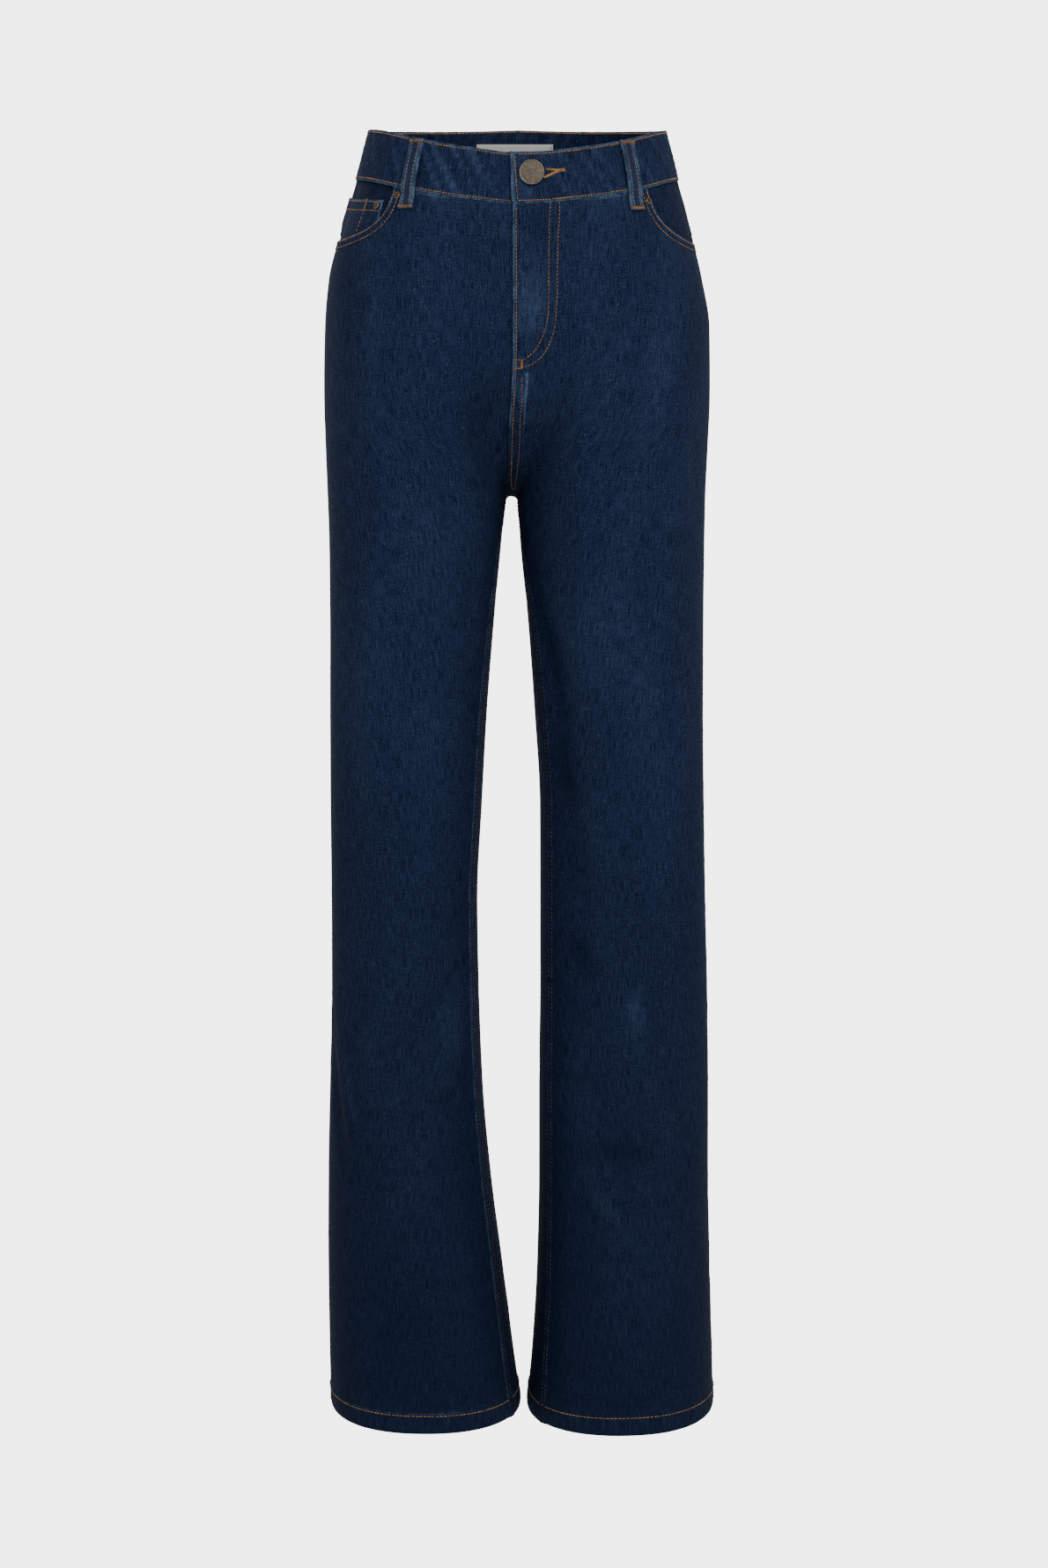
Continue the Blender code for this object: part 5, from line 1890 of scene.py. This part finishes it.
@dataclass
class BeltLoop:
    """Belt loop sewn at the band's top edge and below the band, bowed between."""

    loop: Loop

    def frame_of(self) -> tuple[float, float, float, Array, Array]:
        """Where the loop lies on the garment.

        Returns:
            Its lower end, the band's seam, its top, and the heights and lifts of its rows.
        """
        loop = self.loop
        side = Side.RIGHT if loop.top < 0 else Side.LEFT
        top_turn = turn_at(side, loop.part, loop.top, LOOP_TOP_LEVEL)
        high = float(read(TOP_EDGE, side.value, top_turn)) - 1.0
        seam = float(band_seam(side, turn_at(side, loop.part, loop.bottom, LOOP_SEAM_LEVEL)))
        low = seam - LOOP_BELOW_BAND
        flat = CLOTH / 2 + GAP + LOOP_CLOTH / 2 + 0.1
        over = BAND_LIFT + BAND_CLOTH / 2 + GAP + LOOP_CLOTH / 2
        known = [(low, flat), (low + 7, flat), (seam - 4, flat + 0.2), (seam - 1, over + 0.3)]
        for share in (0.18, 0.4, 0.6, 0.82, 1.0):
            bow = LOOP_BOW * math.sin(math.pi * min(share + 0.1, 1.0))
            known.append((seam + (high - seam) * share, over + 0.1 + bow))
        heights = np.linspace(low, high, 44)
        return low, seam, high, heights, smooth_curve(*zip(*known), heights)

    def spots(self, off: Array, heights: Array, lifts: Array) -> Array:
        """Points of the loop.

        Args:
            off: Distances from its middle line.
            heights: Their heights.
            lifts: How far off the form they are.

        Returns:
            The points.
        """
        low, _, high, _, _ = self.frame_of()
        share = (heights - low) / (high - low)
        centre = self.loop.bottom + (self.loop.top - self.loop.bottom) * share
        return body_points(centre + off, heights, self.loop.part, lifts)

    def build(self) -> None:
        """Makes the loop."""
        low, _, high, heights, lifts = self.frame_of()
        half = np.array([0.2, 0.3, 0.4, 0.47, 0.5])
        off = LOOP_WIDTH * np.concatenate([-half[::-1], [0], half])[None]
        grid = heights.reshape(-1, 1) + 0 * off
        edge = LOOP_WIDTH / 2 - np.abs(off) + 0 * grid
        raised = lifts.reshape(-1, 1) - 0.25 * (1 - ease(edge, 0, 1.2))
        raised = raised - 0.18 * np.exp(-((off / 0.9) ** 2))
        ends = np.minimum(grid - low, high - grid)
        Shell(
            self.loop.name,
            self.spots(off + 0 * grid, grid, raised + 0 * grid),
            np.stack([off + 0 * grid, grid], axis=-1),
            np.minimum(edge * 0.45, ends),
            0.1 + 0 * grid,
            0.15 + 0 * grid,
            thickness=LOOP_CLOTH,
            finish=DENIM_BAND,
            reverse=DENIM_BAND,
            slot="denim_band",
            flat=(0.0105, 0.0565),
            bevel=0.4,
            rests_on=("waistband",),
            flipped=self.loop.part is Part.BACK,
        ).build()


@dataclass
class Label:
    """Blank woven label inside the back of the band."""

    flat: tuple = (0.0654, 0.027)

    def build(self) -> None:
        """Makes the label."""
        width, depth = LABEL_SIZE
        x = LABEL_MIDDLE + np.linspace(-0.5, 0.5, 34).reshape(1, -1) * width
        heights = LABEL_TOP - depth * np.linspace(1, 0, 14).reshape(-1, 1)
        lift = BAND_LIFT - BAND_CLOTH / 2 - GAP - LABEL_CLOTH / 2 - 0.1
        lifts = lift - 0.18 * (1 + uneven(x / 5 + heights / 9, 0.4))
        Shell(
            "label",
            body_points(x, heights, Part.BACK, lifts),
            np.stack([x + 0 * heights, heights + 0 * x], axis=-1),
            40 + 0 * lifts,
            0 * lifts,
            0 * lifts,
            thickness=LABEL_CLOTH,
            finish=LABEL_TAPE,
            reverse=LABEL_TAPE,
            slot="label_tape",
            flat=self.flat,
            bevel=0.2,
            rests_on=("waistband",),
        ).build()


@dataclass
class Turned:
    """A turned metal piece on the cloth."""

    name: str
    profile: tuple
    point: Array
    direction: Array
    finish: Finish
    slot: str
    rim: float
    steps: int = 64

    def build(self) -> None:
        """Makes the piece."""
        angles = np.linspace(0, 2 * math.pi, self.steps, endpoint=False)
        mesh = bpy.data.meshes.new(self.name)
        builder = bmesh.new()
        layer = builder.verts.layers.float.new("rim")
        rings = []
        for radius, height in self.profile:
            if radius == 0:
                ring = [builder.verts.new((0, 0, height * MM))]
            else:
                ring = [
                    builder.verts.new(
                        (radius * MM * math.cos(a), radius * MM * math.sin(a), height * MM)
                    )
                    for a in angles
                ]
            # Rim mask: rubbed metal, brightened also as a painted highlight.
            for vert in ring:
                vert[layer] = float(ease(np.asarray(radius), self.rim - 0.5, self.rim)) * 0.8
            rings.append(ring)
        for lower, upper in zip(rings, rings[1:]):
            for i in range(self.steps):
                j = (i + 1) % self.steps
                places = ((lower, i), (lower, j), (upper, j), (upper, i))
                corners = [ring[number % len(ring)] for ring, number in places]
                builder.faces.new(list(dict.fromkeys(corners)))
        bmesh.ops.recalc_face_normals(builder, faces=builder.faces[:])
        builder.to_mesh(mesh)
        builder.free()
        mesh.materials.append(self.finish.material())
        mesh.shade_smooth()
        mesh.set_sharp_from_angle(angle=math.radians(50))
        thing = put(self.name, mesh)
        thing.location = [value * MM for value in self.point]
        thing.rotation_mode = "QUATERNION"
        thing.rotation_quaternion = Vector(self.direction).to_track_quat("Z", "Y")
        declare(thing, self.name)


@dataclass
class Fasteners:
    """The waist button and the rivets."""

    radius: float = BUTTON_RADIUS

    def button(self) -> None:
        """Makes the waist button: a dished face inside a rolled rim."""
        x, height = BUTTON_PLACE
        turn = turn_at(Side.LEFT, Part.FRONT, x, height)
        point = place(Side.LEFT, turn, height, BAND_LIFT + BAND_CLOTH / 2 + GAP)
        r = self.radius
        profile = (
            (0, 2.45), (r * 0.3, 2.42), (r * 0.55, 2.35), (r * 0.75, 2.25), (r - 1.5, 2.15),
            (r - 1.15, 2.2),
            (r - 0.85, 2.5), (r - 0.5, 2.6), (r - 0.2, 2.4), (r - 0.05, 2.0),
            (r, 1.7), (r - 0.2, 1.15), (r - 1.6, 0.6), (4.0, 0.4), (4.0, 0.0), (0, 0.0),
        )
        direction = normals(Side.LEFT, turn, height)
        Turned("button", profile, point, direction, BUTTON_METAL, "button_metal", r - 0.5).build()

    def rivet(self, rivet: Rivet) -> None:
        """Makes a rivet: a ring with a raised nub.

        Args:
            rivet: Where the rivet sits.
        """
        turn = rivet.turn
        height = band_seam(rivet.side, turn) - rivet.below
        point = place(rivet.side, turn, height, rivet.lift)
        r = RIVET_RADIUS
        profile = (
            (0, 1.25), (0.45, 1.2), (0.8, 1.0), (0.95, 0.7), (1.1, 0.52), (1.5, 0.6), (2.0, 0.82),
            (r - 0.5, 0.85), (r - 0.15, 0.65), (r, 0.35), (r, 0), (0, 0),
        )
        direction = normals(rivet.side, turn, height)
        Turned(rivet.name, profile, point, direction, RIVET_METAL, "rivet_metal", 2.3, 32).build()

    def build(self) -> None:
        """Makes the button and the rivets."""
        self.button()
        for rivet in RIVETS:
            self.rivet(rivet)


def with_outward(points_at: Callable, lift: Array) -> tuple[Array, Array]:
    """Points at a lift, and the direction off the cloth at each.

    Args:
        points_at: Gives the points at a lift.
        lift: The lift.

    Returns:
        The points and the directions.
    """
    path = points_at(lift)
    return path, path - points_at(lift - 1)


@dataclass
class Stitching:
    """Rows of stitches that are made as one piece.

    Attributes:
        name: The piece's name.
        thread: The thread they are sewn with.
        slot: Name of a material slot; not used.
        pitch: Distance from one stitch to the next.
        radius: Half the thread's thickness.
        stitches: Middles, directions along and off the cloth, and lengths of each row's stitches.
    """

    name: str
    thread: Thread = Thread.COPPER
    slot: str = "denim"
    pitch: float = 2.9
    radius: float = 0.42
    stitches: list = field(default_factory=list)

    def row(
        self, path: Array, outward: Array, pitch: Optional[float] = None, fill: float = 0.72
    ) -> None:
        """Adds a row of stitches along a path.

        Args:
            path: Points that the row passes.
            outward: Direction off the cloth at each.
            pitch: Distance between stitches, where it differs from the piece's own.
            fill: Share of the distance that a stitch takes.
        """
        step = pitch or self.pitch
        length = np.concatenate([[0], np.cumsum(np.linalg.norm(np.diff(path, axis=0), axis=1))])
        count = max(1, int(length[-1] / step))
        at = (np.arange(count) + 0.5) * length[-1] / count
        at = at + 0.12 * step * uneven(np.arange(count) * 2.3, length[-1])

        def read_at(places: Array, values: Array) -> Array:
            """Reads values along the row."""
            return np.stack([np.interp(places, length, values[:, i]) for i in range(3)], axis=1)

        run = read_at(at + 1, path) - read_at(at - 1, path)
        up = read_at(at, outward)
        run /= np.linalg.norm(run, axis=1, keepdims=True)
        up /= np.linalg.norm(up, axis=1, keepdims=True)
        self.stitches.append((read_at(at, path), run, up, np.full(count, step * fill)))

    def on(self, side: Side, turns: Array, heights: Array, lift: float, **how: float) -> None:
        """Adds a row on the form of one side.

        Args:
            side: The leg.
            turns: Turns that the row passes.
            heights: Heights that it passes.
            lift: How far off the form its cloth's middle lies.
            **how: Pitch and fill of the row.
        """
        turns, heights = np.broadcast_arrays(np.asarray(turns, float), np.asarray(heights, float))
        out = normals(side, turns, heights)
        self.row(place(side, turns, heights, lift + THREAD_STAND + 0 * turns), out, **how)

    def on_lap(self, distance: Array, heights: Array, raised: Array = 0.0, **how: float) -> None:
        """Adds a row on the left front.

        Args:
            distance: Distance of the row from the front's own edge.
            heights: Its heights.
            raised: How far the cloth under it is raised.
            **how: Pitch and fill of the row.
        """
        lifts = raised + THREAD_STAND + 0 * heights
        self.row(*with_outward(lambda lift: lapped(distance, heights, lift), lifts), **how)

    def tack(
        self, start: Array, end: Array, out: Array, width: float = 2.0, count: int = 9
    ) -> None:
        """Adds a bar tack: close short stitches across a line.

        Args:
            start: One end of the bar.
            end: The other end.
            out: Direction off the cloth.
            width: Length of each stitch.
            count: How many stitches the bar has.
        """
        share = np.linspace(0, 1, count).reshape(-1, 1)
        centres = start + (end - start) * share
        bar = (end - start) / np.linalg.norm(end - start)
        across = np.cross(bar, out / np.linalg.norm(out))
        slant = across + 0.22 * bar
        run = np.tile(slant / np.linalg.norm(slant), (count, 1))
        up = np.tile(out / np.linalg.norm(out), (count, 1))
        self.stitches.append((centres, run, up, np.full(count, width)))

    def build(self) -> None:
        """Makes the stitches as small rounded lengths of thread whose ends dip into the cloth."""
        centre, run, up, length = (np.concatenate(part) for part in zip(*self.stitches))
        cross = np.cross(run, up)
        cross /= np.linalg.norm(cross, axis=1, keepdims=True)
        up = np.cross(cross, run)
        sides = 5
        angles = np.arange(sides) / sides * 2 * math.pi
        rings = ((-0.5, 0.45, -0.55), (-0.3, 1.0, 0.0), (0.3, 1.0, 0.0), (0.5, 0.45, -0.55))
        verts = []
        for along, size, sunk in rings:
            for angle in angles:
                flat = 0.8 * math.sin(angle) * size + sunk
                spot = centre + run * (along * length)[:, None]
                spot = spot + (cross * math.cos(angle) * size + up * flat) * self.radius
                verts.append(spot)
        verts = np.stack(verts, axis=1).reshape(-1, 3)
        base = np.arange(len(centre)) * sides * len(rings)
        faces = []
        for ring in range(len(rings) - 1):
            for i in range(sides):
                j = (i + 1) % sides
                a, b = ring * sides, (ring + 1) * sides
                corners = [base + a + i, base + b + i, base + b + j, base + a + j]
                faces.append(np.stack(corners, axis=1))
        round_end = np.arange(sides)
        caps = [base[:, None] + round_end, base[:, None] + 3 * sides + round_end[::-1]]
        mesh = bpy.data.meshes.new(self.name)
        polygons = np.vstack(faces).tolist() + np.vstack(caps).tolist()
        mesh.from_pydata((verts * MM).tolist(), [], polygons)
        mesh.shade_smooth()
        mesh.materials.append(THREADS[self.thread].material())
        thing = put(self.name, mesh)
        declare(thing)


@dataclass
class Seamwork:
    """All the stitching, piece by piece."""

    hem_up: float = 15.4
    felled_rows: tuple = (1.6, 6.6)
    mouth_rows: tuple = (1.5, 6.6)

    def hems(self) -> None:
        """Sews the two hems."""
        rows = Stitching("hem_stitches", pitch=3.4, radius=0.38)
        for side in Side:
            for first, last in ((0.004, 0.996), (1.004, 1.996)):
                turns = np.linspace(first, last, 160)
                rows.on(side, turns, hem_edge(side, turns) + self.hem_up, 0.5, fill=0.8)
        rows.build()

    def inseams(self) -> None:
        """Sews the two felled inseams with blue thread."""
        rows = Stitching("inseam_stitches", Thread.BLUE, pitch=3.4, radius=0.30)
        for side in Side:
            heights = np.linspace(HEM[side] + 19, CROTCH - 5, 260)
            girth = leg_girth(side, Part.FRONT, heights)
            for distance in self.felled_rows:
                rows.on(side, distance / girth, heights, 0.45)
        rows.build()

    def front(self) -> None:
        """Sews the fly's curve, the front edge and the front rise."""
        rows = Stitching("front_stitches", radius=0.34)
        for table, raised in ((FLY_INNER, 0.0), (FLY_OUTER, 0.0), (RISE_OUTER, 0.5)):
            x, z = (np.array(column, float) for column in zip(*table))
            length = np.concatenate([[0], np.cumsum(np.hypot(np.diff(x), np.diff(z)))])
            at = np.linspace(0, length[-1], 70)
            x, z = smooth_curve(length, x, at), smooth_curve(length, z, at)
            rows.on_lap(lap_distance(x, z), z, raised)
        z = np.linspace(-67, -292, 120)
        rows.on_lap(2.3 + 0 * z, z, 0.1 + 0.6 * (1 - ease(z, -198, -190)))
        x, z = np.full(2, FLY_TACK[0]), np.array(FLY_TACK[1:])
        tack = lap_distance(x, z)
        ends, out = with_outward(lambda lift: lapped(tack, z, lift), np.full(2, CLOTH / 2 + 0.5))
        rows.tack(ends[0], ends[1], out[0], 2.2, 10)
        for (x0, z0), (x1, z1) in FLY_DENSE:
            x, z = np.linspace(x0, x1, 8), np.linspace(z0, z1, 8)
            rows.on_lap(lap_distance(x, z), z, 0.4, pitch=1.6, fill=1.0)
        rows.build()

    def mouths(self) -> None:
        """Sews the pocket mouths and the coin pocket."""
        rows = Stitching("pocket_mouth_stitches")
        for side in Side:
            for inward in self.mouth_rows:
                turns, drops = mouth_curve(side, 120, inward)
                heights = band_seam(side, turns) - drops
                keep = heights < band_seam(side, turns) - 1.5
                rows.on(side, np.minimum(turns, 0.996)[keep], heights[keep], 0.25)
        pocket = FrontPocket(Side.RIGHT)
        for down in (1.7, 8.6):
            turns, heights, lifts = pocket.coin_place(np.linspace(90, 5, 60), down)
            rows.on(Side.RIGHT, turns, heights, lifts + 0.1)
        places = np.linspace(69.0, 66.0, 30), np.linspace(10, 26, 30)
        turns, heights, lifts = pocket.coin_place(*places)
        rows.on(Side.RIGHT, turns, heights, lifts)
        turns, heights, lifts = pocket.coin_place(np.array([69.5, 69.0]), np.array([-0.2, 9.5]))
        ends = place(Side.RIGHT, turns, heights, lifts + CLOTH / 2 + 0.5)
        rows.tack(ends[0], ends[1], normals(Side.RIGHT, turns[:1], heights[:1])[0], 2.4, 11)
        rows.build()

    def band(self) -> None:
        """Sews the waistband's edges, its end and the buttonhole."""
        rows = Stitching("waistband_stitches", slot="denim_band", pitch=2.4, radius=0.46)
        lift = BAND_LIFT + BAND_CLOTH / 2 - CLOTH / 2
        for up in (2.2, BAND_HEIGHT - 2.2):
            for side in (Side.LEFT, Side.RIGHT):
                turns = np.linspace(0, 2, 420)
                sunk = 0.0
                if side is Side.RIGHT:
                    turns = turns[turns >= turn_at(side, Part.FRONT, -3.2, BAND_MIDDLE)]
                    sunk = BAND_SINK * Waistband.sunk(turns)
                rows.on(side, turns, band_seam(side, turns) + up, lift - sunk)
        z = np.linspace(BAND_MIDDLE - 18, BAND_MIDDLE + 16, 40)
        x = np.linspace(BAND_END_LOWER, BAND_END_UPPER, 40) + 4.2
        rows.row(*self.front_path(x, z))
        for start, end, up in DENSE_ROWS:
            x = np.linspace(start, end, 12)
            heights = band_seam(Side.LEFT, turn_at(Side.LEFT, Part.FRONT, x, BAND_MIDDLE)) + up
            path, out = self.front_path(x, heights, 0.55)
            rows.row(path, out, pitch=1.5, fill=1.0)
        rows.build()
        rows = Stitching("band_inside_stitches", slot="denim_band", pitch=2.3, radius=0.58)
        inside = BAND_LIFT - BAND_CLOTH / 2 - 0.3
        for side in Side:
            turns = np.linspace(1.02, 1.99, 200)
            heights = band_seam(side, turns) + BAND_HEIGHT - 1.4
            path, out = with_outward(lambda lift: place(side, turns, heights, lift), inside)
            rows.row(path, -out, fill=0.95)
        rows.build()
        self.buttonhole()

    def front_path(self, x: Array, z: Array, stand: float = 0.3) -> tuple[Array, Array]:
        """Points on the band's front face.

        Args:
            x: Places across the body.
            z: Their heights.
            stand: How far off the face they are.

        Returns:
            The points and the directions off the band.
        """
        lift = BAND_LIFT + BAND_CLOTH / 2 + stand
        return with_outward(lambda at: body_points(x, z, Part.FRONT, at), lift)

    def buttonhole(self) -> None:
        """Sews the buttonhole's close edges."""
        rows = Stitching("buttonhole_stitches", slot="denim_band", pitch=0.8, radius=0.36)
        for (x0, z0), (x1, z1), width, count in BUTTONHOLE:
            path, out = self.front_path(np.array([x0, x1]), np.array([z0, z1]), 0.45)
            rows.tack(path[0], path[1], out[0], width, count)
        rows.build()

    def loops(self) -> None:
        """Sews the belt loops' edges and their tacks."""
        rows = Stitching("belt_loop_stitches", slot="denim_band", pitch=2.9, radius=0.30)
        for loop in LOOPS:
            piece = BeltLoop(loop)
            low, _, high, heights, lifts = piece.frame_of()
            stand = LOOP_CLOTH / 2 + 0.25
            for off in (-2.5, 2.4):
                line = off + 0 * heights
                path, out = with_outward(lambda at: piece.spots(line, heights, at), lifts + stand)
                rows.row(path[2:-2], out[2:-2])
            for height in (low + 1.6, high - 2.0):
                lift = float(np.interp(height, heights, lifts)) + stand + 0.2
                across = np.array([-LOOP_WIDTH / 2 + 0.4, LOOP_WIDTH / 2 - 0.4])
                level = np.full(2, height)
                ends, out = with_outward(lambda at: piece.spots(across, level, at), lift)
                rows.tack(ends[0], ends[1], out[0], 2.6, 13)
        rows.build()

    def back(self) -> None:
        """Sews the yokes, the back rise and the back pockets."""
        rows = Stitching("back_stitches")
        for side in Side:
            turns = np.linspace(1.01, 1.99, 160)
            for up in (1.7, 6.7):
                rows.on(side, turns, read(YOKE_EDGE, "height", turns) + up, 0.45)
            for border in (2.0, 7.6):
                self.pocket(rows, BackPocket(side), border)
        z = np.linspace(-62, CROTCH + 8, 160)
        girth = leg_girth(Side.LEFT, Part.BACK, z)
        for distance in self.felled_rows:
            rows.on(Side.LEFT, 2 - distance / girth, z, 0.6)
        rows.build()

    def pocket(self, rows: Stitching, pocket: BackPocket, border: float) -> None:
        """Sews one row inside a back pocket's outline.

        Args:
            rows: The stitches to add to.
            pocket: The pocket.
            border: Distance of the row from the outline.
        """
        width, depth = POCKET_SIZE
        side_in, down_in = border / width, border / depth
        run = np.linspace(0, 1, 90)
        left, right = side_in + 0 * run, 1 - side_in + 0 * run
        across = side_in + (1 - 2 * side_in) * run
        fall = run * (1 - down_in)
        lines = [(left, fall), (right, fall), (across, 1 - down_in + 0 * run)]
        mouth = 2.0 if border < 4 else 13.0
        lines.append((run, mouth / depth + 0 * run))
        for line_across, down in lines:
            turns, heights = pocket.spot(line_across, down)
            rows.on(pocket.side, turns, heights, POCKET_LIFT + 0.05)

    def label(self) -> None:
        """Sews the label's two ends."""
        rows = Stitching("label_stitches", slot="label_tape", pitch=2.8, radius=0.32)
        lift = BAND_LIFT - BAND_CLOTH / 2 - GAP - LABEL_CLOTH - 0.4
        for end in (-1, 1):
            x = np.full(12, LABEL_MIDDLE + end * (LABEL_SIZE[0] / 2 - 1.8))
            z = np.linspace(LABEL_TOP - 1, LABEL_TOP - LABEL_SIZE[1] + 1, 12)
            path, out = with_outward(lambda at: body_points(x, z, Part.BACK, at), lift)
            rows.row(path, -out)
        rows.build()

    def build(self) -> None:
        """Sews everything."""
        steps = (self.hems, self.inseams, self.front, self.mouths)
        steps += (self.band, self.loops, self.back, self.label)
        for sew in steps:
            sew()


@dataclass
class Studio:
    """Plain pale floor, plain soft light and the camera."""

    camera_place: tuple = (0.0066, -2.58, -0.180)
    pitch: float = 82.0
    lens: float = 3491 / 1780 * 36
    sky: float = 0.7
    lights: tuple = ((2.3, 26.0, (58, 0, 30)), (0.7, 50.0, (66, 0, -42)), (1.0, 60.0, (60, 0, 190)))

    def camera(self) -> None:
        """Places the camera at the photograph's viewing angle."""
        data = bpy.data.cameras.new("camera")
        data.lens = self.lens
        data.sensor_width = 36
        thing = put("camera", data)
        thing.location = self.camera_place
        thing.rotation_euler = (math.radians(self.pitch), 0, 0)
        bpy.context.scene.camera = thing

    def light(self) -> None:
        """Adds the even surrounding light and the soft lamps."""
        world = bpy.data.worlds.new("studio")
        bpy.context.scene.world = world
        world.use_nodes = True
        graph = Graph(world.node_tree)
        graph.tree.nodes.clear()
        seen = graph.add("ShaderNodeLightPath", {}).outputs["Is Camera Ray"]
        plain = [
            graph.add(
                "ShaderNodeBackground", {"Color": (1, 1, 1, 1), "Strength": strength}
            ).outputs[0]
            for strength in (self.sky, StudioPaper().glow)
        ]
        mixed = graph.add("ShaderNodeMixShader", {0: seen, 1: plain[0], 2: plain[1]}).outputs[0]
        graph.add("ShaderNodeOutputWorld", {"Surface": mixed})
        for number, (strength, spread, turned) in enumerate(self.lights):
            data = bpy.data.lights.new(f"lamp_{number}", "SUN")
            data.energy = strength
            data.angle = math.radians(spread)
            put(data.name, data).rotation_euler = [math.radians(value) for value in turned]

    def floor(self) -> None:
        """Lays the floor."""
        mesh = bpy.data.meshes.new("floor")
        builder = bmesh.new()
        bmesh.ops.create_circle(builder, cap_ends=True, segments=96, radius=45)
        builder.to_mesh(mesh)
        builder.free()
        mesh.materials.append(StudioPaper().material())
        thing = put("floor", mesh)
        thing.location.z = FLOOR_HEIGHT * MM

    def build(self) -> None:
        """Sets up the studio."""
        self.camera()
        self.light()
        self.floor()


def main() -> None:
    """Builds the dressed jeans in order."""
    logging.basicConfig(level=logging.INFO, format="%(message)s")
    Studio().build()
    for side in Side:
        Panel(side, Part.FRONT, (0.29, 1.055), 0.225).build()
        area = 0.289 if side is Side.LEFT else 0.277
        Panel(side, Part.BACK, (0.33, 1.02), area).build()
        Yoke(side).build()
        FrontPocket(side).build()
        BackPocket(side).build()
    Waistband().build()
    for loop in LOOPS:
        BeltLoop(loop).build()
    Label().build()
    Fasteners().build()
    Seamwork().build()


if __name__ == "__main__":
    main()
